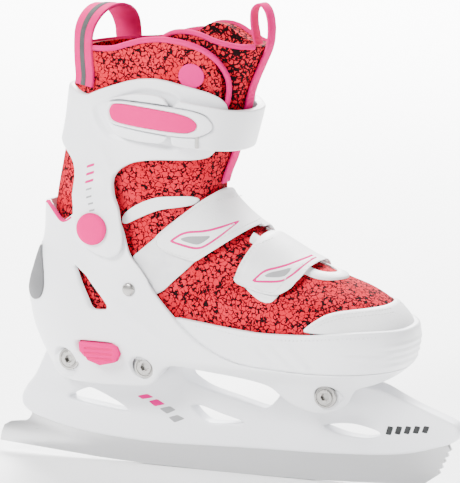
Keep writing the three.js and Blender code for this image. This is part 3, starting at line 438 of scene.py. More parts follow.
def crackle_group():
    """Broken black cracks, as printed on the knit: 1 on a crack."""
    group, start, end = new_group(
        "crackle_print", {"Place": None, "Cells": 300.0, "Thickness": 0.1, "Cover": 0.5},
        ["Crack", "Patch"])
    wander = node(group, "ShaderNodeTexNoise", [("Vector", start.outputs["Place"]), ("Scale", 420.0),
                                                ("Detail", 2.0)])
    shift = node(group, "ShaderNodeVectorMath", [(0, wander.outputs["Color"]), (1, (0.5, 0.5, 0.5))],
                 operation="SUBTRACT")
    small = node(group, "ShaderNodeVectorMath", [(0, shift.outputs[0]), (1, (0.0035, 0.0035, 0.0035))],
                 operation="MULTIPLY")
    place = node(group, "ShaderNodeVectorMath", [(0, start.outputs["Place"]), (1, small.outputs[0])])
    cells = node(group, "ShaderNodeTexVoronoi", [("Vector", place.outputs[0]),
                                                 ("Scale", start.outputs["Cells"])],
                 feature="DISTANCE_TO_EDGE")
    patch = node(group, "ShaderNodeTexNoise", [("Vector", start.outputs["Place"]), ("Scale", 330.0),
                                               ("Detail", 2.0), ("Roughness", 0.6)])
    spread = maths(group, "MULTIPLY", maths(group, "SUBTRACT", patch.outputs["Fac"], 0.5), 4.0)
    width = maths(group, "MULTIPLY", start.outputs["Thickness"],
                  maths(group, "ADD", spread, start.outputs["Cover"]))
    line = maths(group, "LESS_THAN", cells.outputs["Distance"], width)
    group.links.new(line, end.inputs["Crack"])
    broad = node(group, "ShaderNodeTexNoise", [("Vector", start.outputs["Place"]), ("Scale", 32.0),
                                               ("Detail", 1.0)])
    worn = node(group, "ShaderNodeMapRange", [("Value", broad.outputs["Fac"]), ("From Min", 0.4),
                                              ("From Max", 0.62)])
    group.links.new(worn.outputs["Result"], end.inputs["Patch"])
    return group


def weave_group():
    """The loops of a knit or the ribs of webbing, as a height."""
    group, start, end = new_group("weave", {"Place": None, "Pitch": 1100.0}, ["Height"])
    waves = []
    for direction in ("X", "Z"):
        wave = node(group, "ShaderNodeTexWave", [("Vector", start.outputs["Place"]),
                                                 ("Scale", start.outputs["Pitch"]), ("Distortion", 1.2),
                                                 ("Detail", 1.0)], bands_direction=direction)
        waves.append(wave.outputs["Fac"])
    group.links.new(maths(group, "MULTIPLY", *waves), end.inputs["Height"])
    return group


GRAIN, CRACKLE, WEAVE = grain_group(), crackle_group(), weave_group()


# %% A base for every finish
def finish_base(name, color, roughness, **settings):
    """A Principled material. A setting's underscores stand for the spaces of its socket."""
    material = bpy.data.materials.new(name)
    material.use_nodes = True
    tree = material.node_tree
    shader = tree.nodes["Principled BSDF"]
    shader.inputs["Base Color"].default_value = (*color, 1)
    shader.inputs["Roughness"].default_value = roughness
    for key, value in settings.items():
        shader.inputs[key.replace("_", " ")].default_value = value
    place = tree.nodes.new("ShaderNodeTexCoord").outputs["Object"]
    return material, tree, shader, place


def bumped(tree, shader, height, strength, distance):
    """Feeds a height into the shader's normal."""
    bump = node(tree, "ShaderNodeBump", [("Height", height), ("Strength", strength),
                                         ("Distance", distance)])
    tree.links.new(bump.outputs["Normal"], shader.inputs["Normal"])


def grouped(tree, group, links):
    """Places a shared effect in a material, with that material's own values."""
    made = tree.nodes.new("ShaderNodeGroup")
    made.node_tree = group
    for label, source in links:
        if isinstance(source, bpy.types.NodeSocket):
            tree.links.new(source, made.inputs[label])
        else:
            made.inputs[label].default_value = source
    return made


def tinted(tree, shader, place, color, other, scale, low=0.35, high=0.7):
    """Base colour that drifts softly between two tones."""
    noise = node(tree, "ShaderNodeTexNoise", [("Vector", place), ("Scale", scale), ("Detail", 2.0)])
    ramp = node(tree, "ShaderNodeMapRange", [("Value", noise.outputs["Fac"]), ("From Min", low),
                                             ("From Max", high)])
    mix = node(tree, "ShaderNodeMix", [("Factor", ramp.outputs["Result"])], data_type="RGBA")
    mix.inputs[6].default_value = (*color, 1)
    mix.inputs[7].default_value = (*other, 1)
    tree.links.new(mix.outputs[2], shader.inputs["Base Color"])
    return mix


# %% The finishes
def moulded(name, color, other, roughness=0.34, grain=1500.0, strength=0.12, gloss=0.5):
    """Injection-moulded plastic with a fine spark-eroded grain. Strong colours need little gloss."""
    material, tree, shader, place = finish_base(name, color, roughness, IOR=1.46,
                                                Specular_IOR_Level=gloss)
    tinted(tree, shader, place, color, other, 18.0)
    fine = grouped(tree, GRAIN, [("Place", place), ("Scale", grain), ("Coarse", 0.2)])
    bumped(tree, shader, fine.outputs["Height"], strength, 0.0002)
    return material


def leathery(name, color, other):
    """Coated faux leather: pebbled grain and a soft sheen."""
    material, tree, shader, place = finish_base(name, color, 0.5)
    tinted(tree, shader, place, color, other, 40.0)
    pebbles = grouped(tree, GRAIN, [("Place", place), ("Scale", 650.0), ("Coarse", 0.8)])
    bumped(tree, shader, pebbles.outputs["Height"], 0.35, 0.0004)
    return material


def printed_knit(name, dense, fade):
    """Coral knit. dense is how much black the print carries, fade how far it thins in patches."""
    coral, salmon, ink = (0.52, 0.0006, 0.016), (0.58, 0.01, 0.03), (0.008, 0.002, 0.0025)
    material, tree, shader, place = finish_base(name, coral, 0.85, Specular_IOR_Level=0.06)
    base = tinted(tree, shader, place, coral, salmon, 60.0)
    printed = grouped(tree, CRACKLE, [("Place", place), ("Cells", 350.0), ("Thickness", 0.11)])
    worn = maths(tree, "MULTIPLY", printed.outputs["Patch"], fade)
    tree.links.new(maths(tree, "SUBTRACT", dense, worn), printed.inputs["Cover"])
    dark = node(tree, "ShaderNodeMix", [("Factor", printed.outputs["Crack"])], data_type="RGBA")
    tree.links.new(base.outputs[2], dark.inputs[6])
    dark.inputs[7].default_value = (*ink, 1)
    tree.links.new(dark.outputs[2], shader.inputs["Base Color"])
    loops = grouped(tree, WEAVE, [("Place", place), ("Pitch", 420.0)])
    bumped(tree, shader, loops.outputs["Height"], 0.5, 0.0004)
    return material


def woven(name, color, other, pitch=500.0, roughness=0.75):
    """Ribbed webbing or binding tape."""
    material, tree, shader, place = finish_base(name, color, roughness, Specular_IOR_Level=0.02)
    tinted(tree, shader, place, color, other, 120.0)
    ribs = grouped(tree, WEAVE, [("Place", place), ("Pitch", pitch)])
    bumped(tree, shader, ribs.outputs["Height"], 0.6, 0.0003)
    return material


def brushed(name, color, roughness, along=(40.0, 900.0, 900.0)):
    """Steel with fine scratches along the blade."""
    material, tree, shader, place = finish_base(name, color, roughness, Metallic=1.0)
    stretched = node(tree, "ShaderNodeMapping", [("Vector", place), ("Scale", along)])
    lines = node(tree, "ShaderNodeTexNoise", [("Vector", stretched.outputs[0]), ("Scale", 1.0),
                                              ("Detail", 3.0)])
    rough = node(tree, "ShaderNodeMapRange", [("Value", lines.outputs["Fac"]),
                                              ("To Min", roughness - 0.08),
                                              ("To Max", roughness + 0.14)])
    tree.links.new(rough.outputs["Result"], shader.inputs["Roughness"])
    bumped(tree, shader, lines.outputs["Fac"], 0.12, 0.0001)
    return material


WHITE = moulded("white_moulded", (0.84, 0.845, 0.865), (0.8, 0.805, 0.83))
HOLDER_WHITE = moulded("holder_moulded", (0.82, 0.825, 0.85), (0.78, 0.785, 0.815), roughness=0.42)
PINK = moulded("pink_moulded", (0.66, 0.0001, 0.15), (0.68, 0.0004, 0.16), roughness=0.4,
               gloss=0.015)
GRAY = moulded("gray_moulded", (0.1, 0.1, 0.104), (0.12, 0.12, 0.124), roughness=0.5)
PRINT_PINK = moulded("pink_print", (0.62, 0.0001, 0.17), (0.6, 0.0001, 0.16), roughness=0.5,
                     gloss=0.015)
PRINT_GRAY = moulded("gray_print", (0.24, 0.24, 0.245), (0.27, 0.27, 0.275), roughness=0.5)
PRINT_WHITE = moulded("white_print", (0.84, 0.84, 0.85), (0.8, 0.8, 0.81), roughness=0.45)
PRINT_DARK = moulded("dark_print", (0.01, 0.01, 0.011), (0.014, 0.014, 0.015), roughness=0.45)
LEATHER = leathery("white_leather", (0.83, 0.83, 0.835), (0.79, 0.79, 0.8))
CLOTH = woven("white_mesh_cloth", (0.8, 0.8, 0.81), (0.72, 0.72, 0.74), pitch=600.0)
KNIT = printed_knit("coral_knit", 1.2, 0.9)
VAMP_KNIT = printed_knit("vamp_knit_print", 1.3, 1.0)
DARK_KNIT = printed_knit("tongue_knit", 1.4, 0.2)
TAPE = woven("pink_binding", (0.6, 0.0002, 0.13), (0.63, 0.001, 0.15))
STRIPE = woven("gray_stripe", (0.06, 0.06, 0.062), (0.08, 0.08, 0.082))
FOAM = woven("dark_insole", (0.05, 0.05, 0.055), (0.08, 0.08, 0.085), pitch=300.0)
THREAD = woven("white_thread", (0.8, 0.8, 0.8), (0.7, 0.7, 0.7), pitch=900.0)
STEEL = brushed("ground_steel", (0.5, 0.5, 0.505), 0.3)
BOLT_STEEL = brushed("turned_steel", (0.36, 0.35, 0.335), 0.27, along=(500.0, 60.0, 500.0))
print("finishes:", len(bpy.data.materials))


# %% [markdown]
# ## Handing a piece over
# Each finished piece gets its finish and the body that it moves with, and the plain CAD
# nodes that it stands for are hidden; a piece given two bodies is only baked where it stands.

# %% One call for finish, body and hidden CAD nodes
def hand_over(obj, material, body, slot, *nodes):
    """Finish, CAD nodes and body of a piece. A body is a name, or two on either side of a joint, and then the
    piece is only baked where it stands. slot is not used.
    """
    if not obj.data.materials:
        obj.data.materials.append(material)
    if nodes:
        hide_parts(*nodes)
    if isinstance(body, str):
        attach(obj, body)
    else:
        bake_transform(obj)
    return obj


# Bodies on either side of a joint that a soft piece lies across, with the points where a bend would start and
# end; hand_over does not bend the piece but only bakes it where it stands, and the points are not read.
ANKLE_BEND = ("root", "cuff", Vector((-70, 0, 156)) * MM, Vector((-52, 0, 196)) * MM)
TOE_BEND = ("root", "toe", Vector((-6, 0, 100)) * MM, Vector((12, 0, 100)) * MM)


# %% [markdown]
# ## The heel shell and its sole
# One moulding holds the heel, spreads into a plate under the foot and drops skirts round
# the holder's towers. Below the foot the same surface is drawn in towards the towers, so
# wall, plate and skirt run into each other without a seam.

# %% The drawn-in surface under the foot
# How far the surface is drawn in at each height, as a share of its breadth.
rear_draw = smooth_curve([
    (50, 0.72), (55, 0.745), (60, 0.785), (68, 0.865), (75, 0.955), (84, 1.0), (92, 1.0)])
front_draw = smooth_curve([
    (42, 0.54), (47, 0.58), (52, 0.64), (59, 0.72), (66, 0.82), (71, 0.93), (75, 1.0), (80, 1.0)])


SOLE_HEIGHT = 75


def shell_surface(t, z, lift, narrow=0.0):
    """The boot's surface, drawn in below the sole."""
    points = boot_surface(t, z, lift, narrow)
    x = points[:, 0]
    ahead = smoothstep(x, -30, 20)
    drawn = rear_draw(z) * (1 - ahead) + front_draw(z) * ahead
    points[:, 1] *= np.clip(drawn, 0.4, 1)
    under = np.maximum(SOLE_HEIGHT - z, 0)
    toe_in, heel_in = smoothstep(x, 55, 110), smoothstep(-x, 60, 110)
    points[:, 0] = x - 0.85 * under * toe_in + 0.1 * under * heel_in
    return points


SHELL_TOP = [(-150, 160), (-113, 162), (-108, 165), (-101, 162), (-95, 156.5), (-91, 154.5), (-87, 157),
             (-84, 159.5), (-79, 163), (-70, 166), (-60, 163), (-54.5, 155), (-52, 145), (-49, 136),
             (-43, 127), (-30, 111), (-8, 90), (8, 81), (24, 76), (60, 74.6), (150, 74)]
SOLE_EDGE = [(150, 70), (110, 71.5), (103, 67.5), (95, 64.5), (88, 63.5), (84, 58), (80, 51.5), (75, 48.5),
             (68, 47), (60, 48), (52, 50.5), (46, 55), (40, 62), (36, 64), (28, 66), (16, 68), (4, 69.2),
             (-17, 71), (-23, 71), (-29, 68), (-32, 64), (-36, 57.5), (-45, 54.7), (-91, 54.2), (-99, 54.8),
             (-104, 57.5), (-107, 63), (-110, 69), (-150, 71)]
WINDOW = [(-85, 130), (-76.5, 122), (-62.2, 105), (-62.6, 102.4), (-73, 101.8), (-80, 117)]
BUTTON_EDGE = [(-82.5, 82.5), (-60, 82.5), (-56, 81), (-54.5, 76), (-57.6, 70.6), (-68, 68), (-76.4, 70.6),
               (-82, 76.3)]
BOLTS = [(-92.2, 69.1), (-42.2, 67.9), (72.8, 58.9)]
BOLT_SEAT = 29.6  # from the middle of the skate to the underside of a bolt's head
SHELL_WALL = 2.8
shell_outline = rounded(SHELL_TOP + SOLE_EDGE, 2)


def circle(centre, radius, steps=28):
    turn = np.linspace(0, 2 * np.pi, steps, endpoint=False)
    return np.stack([centre[0] + radius * np.cos(turn), centre[1] + radius * np.sin(turn)], 1)


def shell_relief(x, z):
    """A broad soft ridge from the rivet to the arch, and a step below the heel's bulge."""
    ridge = np.exp(-((z - (84 + 0.62 * (-22 - x))) / 3.2) ** 2)
    ridge *= smoothstep(-x, 15, 30) * smoothstep(x, -66, -56)
    groove = np.exp(-((z - 99 - 0.02 * (x + 100)) / 2.0) ** 2) * smoothstep(-x, 84, 96)
    return 0.5 * ridge - 0.35 * groove


def shell_lift(x, z):
    """The shell stands out further at the heel than beside the toe shell."""
    return 6.4 - 1.9 * smoothstep(x, 5, 45)


holes = [rounded(WINDOW, 2, 0.1)]
holes += [circle(spot, 7.3) for spot in BOLTS]
holes.append(rounded(BUTTON_EDGE, 1, 0.1))
shell_skin = wall("heel_shell_look", shell_outline, lambda x, z: shell_lift(x, z) - SHELL_WALL,
                  shell_lift, cell=1.3, edge=1.0, relief=shell_relief, holes=holes,
                  surface=shell_surface)
print("heel shell faces:", len(shell_skin.data.polygons))


# %% Flat plates and blocks
def block(name, outline, y_low, y_high, edge=0.8):
    """A side outline carried from one distance to another across the skate, edges eased."""
    low = [(x, y_low, z) for x, z in outline]
    high = [(x, y_high, z) for x, z in outline]
    n = len(low)
    faces = [list(range(n)), list(range(2 * n - 1, n - 1, -1))]
    faces += [[i, (i + 1) % n, n + (i + 1) % n, n + i] for i in range(n)]
    made = new_object(name, low + high, faces, sharp=35)
    if edge:
        eased(made, edge)
    return made


def eased(obj, width, segments=3, angle=35):
    """Bevels real corners and bakes the result into the mesh."""
    bevel = obj.modifiers.new("ease", "BEVEL")
    bevel.width = width * MM
    bevel.segments = segments
    bevel.limit_method = "ANGLE"
    bevel.angle_limit = math.radians(angle)
    bevel.use_clamp_overlap = True
    return settled(obj, 60)


def settled(obj, sharp=50):
    """Replaces an object's mesh by what its modifiers make of it."""
    bpy.context.view_layer.update()
    graph = bpy.context.evaluated_depsgraph_get()
    made = bpy.data.meshes.new_from_object(obj.evaluated_get(graph))
    obj.modifiers.clear()
    obj.data = made
    made.polygons.foreach_set("use_smooth", [True] * len(made.polygons))
    made.set_sharp_from_angle(angle=math.radians(sharp))
    return obj


def merged(name, pieces, sharp=50):
    """Puts several meshes into one object."""
    work = bmesh.new()
    for piece in pieces:
        work.from_mesh(piece.data)
        bpy.data.objects.remove(piece)
    mesh = bpy.data.meshes.new(name)
    work.to_mesh(mesh)
    work.free()
    mesh.polygons.foreach_set("use_smooth", [True] * len(mesh.polygons))
    mesh.set_sharp_from_angle(angle=math.radians(sharp))
    obj = bpy.data.objects.new(name, mesh)
    bpy.context.scene.collection.objects.link(obj)
    return obj


def edge_at(z):
    """Where the drawn-in surface runs at one height: places along, and half widths."""
    t = np.linspace(0, 1, 80)
    points = shell_surface(t, np.full(80, z), 3.6)
    order = np.argsort(points[:, 0])
    return points[order, 0], points[order, 1]


def sole_plate():
    """The plate between the skins, its underside following the sole's edge."""
    x = np.linspace(-112, 104, 90)
    under = np.interp(x, [-112, -17, 4, 28, 40, 90, 104], [73, 72.2, 70.5, 67.5, 66.5, 66.5, 70.5])
    half = np.array([np.interp(px, *edge_at(pz)) for px, pz in zip(x, under)]) - 1.2
    rows = []
    for z in (under, np.full(len(x), float(SOLE_HEIGHT))):
        for side in (-1, 1):
            rows.append(np.stack([x, side * np.maximum(half, 1), z], 1))
    n = len(x)
    ring = [0, 1, 3, 2]
    faces = []
    for i in range(n - 1):
        for a, b in zip(ring, ring[1:] + ring[:1]):
            faces.append([a * n + i, b * n + i, b * n + i + 1, a * n + i + 1])
    faces.append([a * n for a in ring][::-1])
    faces.append([a * n + n - 1 for a in ring])
    return new_object("sole_plate", np.concatenate(rows), faces)


# %% Flanges beside the towers and seats under the bolts
TOWER_FACE = 11.4
REAR_BLOCK = [(-106, 74), (-104, 62), (-100, 57), (-45, 57), (-38, 60), (-34, 66), (-30, 74)]
FRONT_BLOCK = [(42, 68), (48, 58), (54, 52.5), (61, 50), (68, 49), (75, 50), (79, 54), (84, 62), (88, 68)]


def bolt_seat(x, z, side, steps=40):
    """A flat washer-like ring that a bolt's head rests on."""
    outer, bore, top, bottom = 8.4, 3.4, BOLT_SEAT - 0.4, BOLT_SEAT - 3.4
    section = [(outer, bottom), (outer, top), (bore, top), (bore, bottom)]
    turn = np.linspace(0, 2 * np.pi, steps, endpoint=False)
    spots = [(x + r * math.cos(a), side * y, z + r * math.sin(a)) for r, y in section for a in turn]
    quads = []
    for k in range(4):
        here, after = k * steps, ((k + 1) % 4) * steps
        quads += [[here + i, here + (i + 1) % steps, after + (i + 1) % steps, after + i]
                  for i in range(steps)]
    return new_object("seat", spots, quads)


shell_parts = [shell_skin, sole_plate()]
for outline, depth in ((REAR_BLOCK, 27), (FRONT_BLOCK, 24.5)):
    for side in (-1, 1):
        low, high = sorted((side * TOWER_FACE, side * depth))
        shell_parts.append(block("flange", rounded(outline, 1), low, high))
shell_parts += [bolt_seat(x, z, side) for x, z in BOLTS for side in (-1, 1)]
heel_shell = merged("heel_shell_look", shell_parts)
hand_over(heel_shell, WHITE, "root", "white_plastic", "heel_shell")
print("heel shell with its sole, faces:", len(heel_shell.data.polygons))


# %% [markdown]
# ## The edge of the liner behind the arm
# A thin pink binding shows in the notch between the cuff's arm and the heel shell. It is a
# small bead that follows the shell's rim, so it is swept along that rim.

# %% Liner edge
notch = [(-112, 161.6), (-107.6, 163.4), (-102.6, 161.4), (-97.6, 157.4), (-93.4, 154.4),
         (-89.6, 155), (-86, 157.4)]
for side, label in ((-1, "outer"), (1, "inner")):
    path, out = on_boot(notch, 4.6, side, 60)
    lip = sweep("liner_edge_" + label, path, out, half_round(2.4, 2.0))
    hand_over(lip, TAPE, "root", "webbing")


# %% [markdown]
# ## The blade and its holder
# The holder is a rail that swells into two towers. Its thickness is a smooth function of
# the place in side view, because a straight extrusion would leave hard steps where the
# real moulding flows. The blade and the turned fasteners keep their CAD form and only get
# eased edges.

# %% A slab: both faces from one half thickness
def slab(name, outline, half, holes=(), cell=1.2, edge=1.6):
    """A body between two mirrored faces, half(x, z) from the middle, with rounded rims."""
    outline = np.asarray(outline, float)
    (x0, z0), (x1, z1) = outline.min(0) - 0.5, outline.max(0) + 0.5
    xs, zs = np.arange(x0, x1, cell), np.arange(z0, z1, cell)
    gx, gz = (g.ravel() for g in np.meshgrid(xs, zs, indexing="ij"))
    places = np.stack([gx, gz], 1)
    depth = depth_inside(places, outline)
    for hole in holes:
        depth = np.minimum(depth, -depth_inside(places, hole))
    index = np.arange(len(gx)).reshape(len(xs), len(zs))
    corners = [index[:-1, :-1], index[1:, :-1], index[1:, 1:], index[:-1, 1:]]
    quads = np.stack(corners, -1).reshape(-1, 4)
    quads = quads[depth[quads].max(1) >= 0].tolist()
    values = np.stack([gx, gz, depth], 1).tolist()
    quads = cut_faces(quads, values, 0.0, False)
    for level in (0.12 * edge, 0.4 * edge, edge):
        quads = cut_faces(quads, values, level, True)
    x, z, depth = np.array(values).T
    near = np.clip(edge - depth, 0, edge)
    y = half(x, z) - (edge - np.sqrt(np.maximum(edge**2 - near**2, 0)))
    n = len(x)
    edges = {(a, b) for f in quads for a, b in zip(f, f[1:] + f[:1])}
    faces = quads + [[v + n for v in reversed(f)] for f in quads]
    faces += [[b, a, a + n, b + n] for a, b in edges if (b, a) not in edges]
    both = np.concatenate([np.stack([x, -y, z], 1), np.stack([x, y, z], 1)])
    return new_object(name, both, faces)


HOLDER = [(-113, 72), (-118, 69), (-121, 62), (-126, 52), (-133, 45), (-137.5, 38), (-137, 32), (-134, 29),
          (-129, 26), (-111, 21), (-94, 18), (-70, 16), (-44, 15), (9, 17), (60, 18), (98, 20), (118, 23),
          (140, 30), (145.5, 33), (147, 38), (145, 42.5), (138, 45.5), (127, 49.5), (114, 54.5), (99, 61),
          (91, 62.5), (86, 63.6), (36, 63.6), (31, 62), (33, 58), (36, 54), (35, 51), (27.5, 43), (24, 42.5),
          (11, 46), (-12, 51.5), (-25, 57), (-27, 61), (-28, 66), (-31, 72)]
HOLDER_WINDOWS = [
    [(-109, 38.6), (-92, 46.5), (-88, 47), (-65, 35), (-65, 33), (-88, 36)],
    [(-24, 41), (-16, 41), (-4, 37), (11, 33.4), (11, 32), (-10, 30.4), (-15, 32), (-20, 36)],
    [(60, 35), (72, 37.6), (83, 38), (98, 34.6), (98, 31.2), (88, 29.6), (76, 30.4), (66, 33)]]


def holder_half(x, z):
    """Half thickness: thin along the rail, swelling into the two towers."""
    rear = smoothstep(z, 38, 54) * smoothstep(-x, 8, 34)
    front = smoothstep(z, 36, 54) * smoothstep(x, 20, 42) * smoothstep(-x, -124, -84)
    rail, swell = 6, 4.7
    return rail + swell * np.maximum(rear, front)


windows = [rounded(outline, 2) for outline in HOLDER_WINDOWS]
holder = slab("blade_holder_look", rounded(HOLDER, 2, 0.2), holder_half, windows)
hand_over(holder, HOLDER_WHITE, "root", "white_plastic", "blade_holder")


# %% Printed stripes on the holder
def print_film(name, outline, material, slot):
    """A thin printed film over the holder's outer face."""
    shape = rounded(outline, 1, 0.1)
    n = len(shape)
    spots = [(x, -(float(holder_half(x, z)) + off), z) for off in (0.12, -0.2) for x, z in shape]
    faces = [list(range(n)), list(range(2 * n - 1, n - 1, -1))]
    faces += [[i, (i + 1) % n, n + (i + 1) % n, n + i] for i in range(n)]
    return hand_over(new_object(name, spots, faces), material, "root", slot)


stripes = [[(-58, 44), (-51, 46), (-47, 44), (-55, 42)], [(-51, 41), (-45, 43), (-40, 40), (-47, 38)],
           [(-44, 37), (-37, 39), (-33, 37), (-39, 34)], [(-38, 32), (-32, 34), (-27, 32), (-34, 29)]]
for number, stripe in enumerate(stripes):
    film = PRINT_PINK if number < 2 else PRINT_GRAY
    slot = "pink_plastic" if number < 2 else "gray_plastic"
    print_film(f"holder_stripe_{number + 1}", stripe, film, slot)

MARKS, MARK_PITCH = 5, 5.6
for number in range(MARKS):
    start = 101.5 + MARK_PITCH * number
    low, high = 33.4 + 0.75 * number, 38.6 + 0.5 * number
    bar = [(start, low + 0.2), (start + 3.4, low - 0.2), (start + 5.0, high - 0.2), (start + 1.6, high + 0.2)]
    print_film(f"holder_mark_{number + 1}", bar, PRINT_DARK, "gray_plastic")
print("films printed on the holder:", len(stripes) + MARKS)


# %% CAD pieces with eased edges
def refined(node_name, material, slot, width=0.3, angle=35, keep_flat=1.5):
    """A copy of a plain CAD piece: joined points, flat faces merged, edges bevelled."""
    source = frame["nodes"][node_name]
    obj = bpy.data.objects.new(node_name + "_look", source.data.copy())
    bpy.context.scene.collection.objects.link(obj)
    obj.data.materials.clear()
    work = bmesh.new()
    work.from_mesh(obj.data)
    bmesh.ops.remove_doubles(work, verts=work.verts, dist=2e-6)
    bmesh.ops.dissolve_limit(work, angle_limit=math.radians(keep_flat), verts=work.verts,
                             edges=work.edges)
    work.to_mesh(obj.data)
    work.free()
    if width:
        eased(obj, width, 2, angle)
    return hand_over(obj, material, source["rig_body"], slot, node_name)


refined("blade", STEEL, "steel", 0.35)
refined("size_button", PINK, "pink_plastic", 0.7)
for side in ("outer", "inner"):
    refined("shell_rivet_" + side, BOLT_STEEL, "steel", 0.5, 25)
    refined("pivot_cap_" + side, PINK, "pink_plastic", 0.9, 12)
refined("strap_rivet", BOLT_STEEL, "steel", 0.5, 25)
refined("lever_pin", BOLT_STEEL, "steel", 0.2)


# %% [markdown]
# ## Fasteners from a small node tree
# The three bolts are one shape at three places, so a Geometry Nodes tree puts copies of it
# on a few points. The same idea sews the stitches later on.

# %% A turned bolt head
def turned(name, profile, segments=48):
    """A body of revolution about Y from (radius, y, six-sided share) rows."""
    turn = np.linspace(0, 2 * np.pi, segments, endpoint=False)
    six = math.cos(math.pi / 6) / np.cos((turn % (math.pi / 3)) - math.pi / 6)
    spots = [(r * ((1 - s) + s * k) * math.cos(a), y, r * ((1 - s) + s * k) * math.sin(a))
             for r, y, s in profile for a, k in zip(turn, six)]
    n, rows = segments, len(profile)
    faces = [[k * n + i, k * n + (i + 1) % n, (k + 1) * n + (i + 1) % n, (k + 1) * n + i]
             for k in range(rows - 1) for i in range(n)]
    faces.append(list(range(n)))
    faces.append([(rows - 1) * n + i for i in range(n)][::-1])
    return new_object(name, spots, faces, sharp=30)


HEAD = 3.2
# A socket, a raised crown round it, a turned groove and a flat flange, then the shank.
bolt_profile = [(2.4, -HEAD + 2.4, 1), (2.5, -HEAD + 0.1, 1), (2.8, -HEAD - 0.1, 1),
                (4.3, -HEAD - 0.1, 0), (4.6, -HEAD + 0.1, 0), (4.8, -HEAD + 0.8, 0),
                (5.2, -HEAD + 0.8, 0), (5.5, -HEAD + 0.35, 0), (6.5, -HEAD + 0.45, 0),
                (6.8, -HEAD + 0.9, 0), (6.8, 0, 0), (3, 0, 0), (3, 52, 0)]


def fastener_tree():
    """Copies of one fastener on points."""
    tree = bpy.data.node_groups.new("fasteners", "GeometryNodeTree")
    sockets = {}
    for label, kind in (("Places", "NodeSocketGeometry"), ("Fastener", "NodeSocketObject"),
                        ("Size", "NodeSocketFloat"), ("Finish", "NodeSocketMaterial")):
        sockets[label] = tree.interface.new_socket(label, in_out="INPUT", socket_type=kind).identifier
    tree.interface.new_socket("Geometry", in_out="OUTPUT", socket_type="NodeSocketGeometry")
    start, end = tree.nodes.new("NodeGroupInput"), tree.nodes.new("NodeGroupOutput")
    shape = node(tree, "GeometryNodeObjectInfo", [("Object", start.outputs["Fastener"])])
    placed = node(tree, "GeometryNodeInstanceOnPoints", [
        ("Points", start.outputs["Places"]), ("Instance", shape.outputs["Geometry"]),
        ("Scale", start.outputs["Size"])])
    real = node(tree, "GeometryNodeRealizeInstances", [("Geometry", placed.outputs["Instances"])])
    done = node(tree, "GeometryNodeSetMaterial", [("Geometry", real.outputs["Geometry"]),
                                                  ("Material", start.outputs["Finish"])])
    tree.links.new(done.outputs["Geometry"], end.inputs["Geometry"])
    return tree, sockets


FASTENERS, FASTENER_SOCKETS = fastener_tree()


def fastened(name, places, shape, material):
    """One object with a copy of shape at each place in millimetres."""
    mesh = bpy.data.meshes.new(name)
    mesh.from_pydata((np.array(places, float) * MM).tolist(), [], [])
    obj = bpy.data.objects.new(name, mesh)
    bpy.context.scene.collection.objects.link(obj)
    modifier = obj.modifiers.new("place", "NODES")
    modifier.node_group = FASTENERS
    modifier[FASTENER_SOCKETS["Fastener"]] = shape
    modifier[FASTENER_SOCKETS["Size"]] = 1.0
    modifier[FASTENER_SOCKETS["Finish"]] = material
    settled(obj, 30)
    bpy.data.objects.remove(shape)
    return obj


bolts = fastened("bolts", [(x, -BOLT_SEAT, z) for x, z in BOLTS], turned("bolt", bolt_profile),
                 BOLT_STEEL)
hand_over(bolts, BOLT_STEEL, "root", "steel", "bolt_rear", "bolt_middle", "bolt_front")
nut_profile = [(3.2, -14, 0), (4, -14, 0), (4, 0, 0), (6.5, 0, 0), (6.5, 2.2, 0), (5.8, 3.1, 0),
               (3, 3.2, 0), (0.6, 3.2, 0)]
nuts = fastened("sleeve_nuts", [(x, BOLT_SEAT, z) for x, z in BOLTS], turned("nut", nut_profile),
                BOLT_STEEL)
hand_over(nuts, BOLT_STEEL, "root", "steel", "sleeve_nut_rear", "sleeve_nut_middle",
          "sleeve_nut_front")
print("bolt faces:", len(bolts.data.polygons))


# %% [markdown]
# ## The soft boot
# The knit boot crosses two joints: the cuff tips the collar about the ankle, and the size
# button lets the toe half slide out. So the knit is two closed shells, one over each joint,
# and the front one starts inside the reach of the rear one. Neither is blended across its
# joint: each is only baked where it stands.

# %% Knit of the ankle and collar
def knit_relief(x, z):
    """Soft padding: fuller between seams, drawn in along them."""
    collar = 0.9 * np.exp(-((z - 250) / 9.0) ** 2)
    return collar * smoothstep(-x, -2, 20)


COLLAR_TOP = [(-88, 258.5), (-59, 259.5), (-50, 262), (-29, 266), (-14, 264.5), (-5, 261.5), (1.5, 257),
              (5.5, 252), (8, 243)]
shaft_outline = rounded([(-150, 80), (-150, 258.5)] + COLLAR_TOP + [
    (6.5, 231), (3, 219), (-1, 206), (4, 196), (25, 185), (25, 160), (13, 150), (13, 80)], 1)
KNIT_WALL = 4
shaft = wall("boot_knit", shaft_outline, -KNIT_WALL, 0, cell=1.8, edge=1.6, relief=knit_relief)
hand_over(shaft, KNIT, ANKLE_BEND, "knit", "liner_lower", "liner_upper")

vamp_outline = [(-10, 78.2), (-10, 200), (200, 200), (200, 78.2)]
vamp = wall("vamp_knit", vamp_outline, -KNIT_WALL, 0.3, cell=1.8, edge=0.8)
hand_over(vamp, VAMP_KNIT, TOE_BEND, "knit", "vamp")
print("knit faces:", len(shaft.data.polygons), "and", len(vamp.data.polygons))


# %% Tongue
TONGUE_NARROW = 4.6  # it lies inside the collar, so its sides are drawn in
collar_front = smooth_curve([(160, -14), (190, -10), (206, -1), (219, 3), (231, 6.5), (243, 8),
                             (252, 5.5), (260, -8), (268, -40)])


def under_collar(x, z):
    """1 where the tongue lies behind the collar's front edge."""
    return smoothstep(x - collar_front(z), 7, -2)


def tongue_back(x, z):
    return -8.5 - 2.5 * under_collar(x, z)


def tongue_front(x, z):
    return 0.6 - 4.4 * under_collar(x, z)


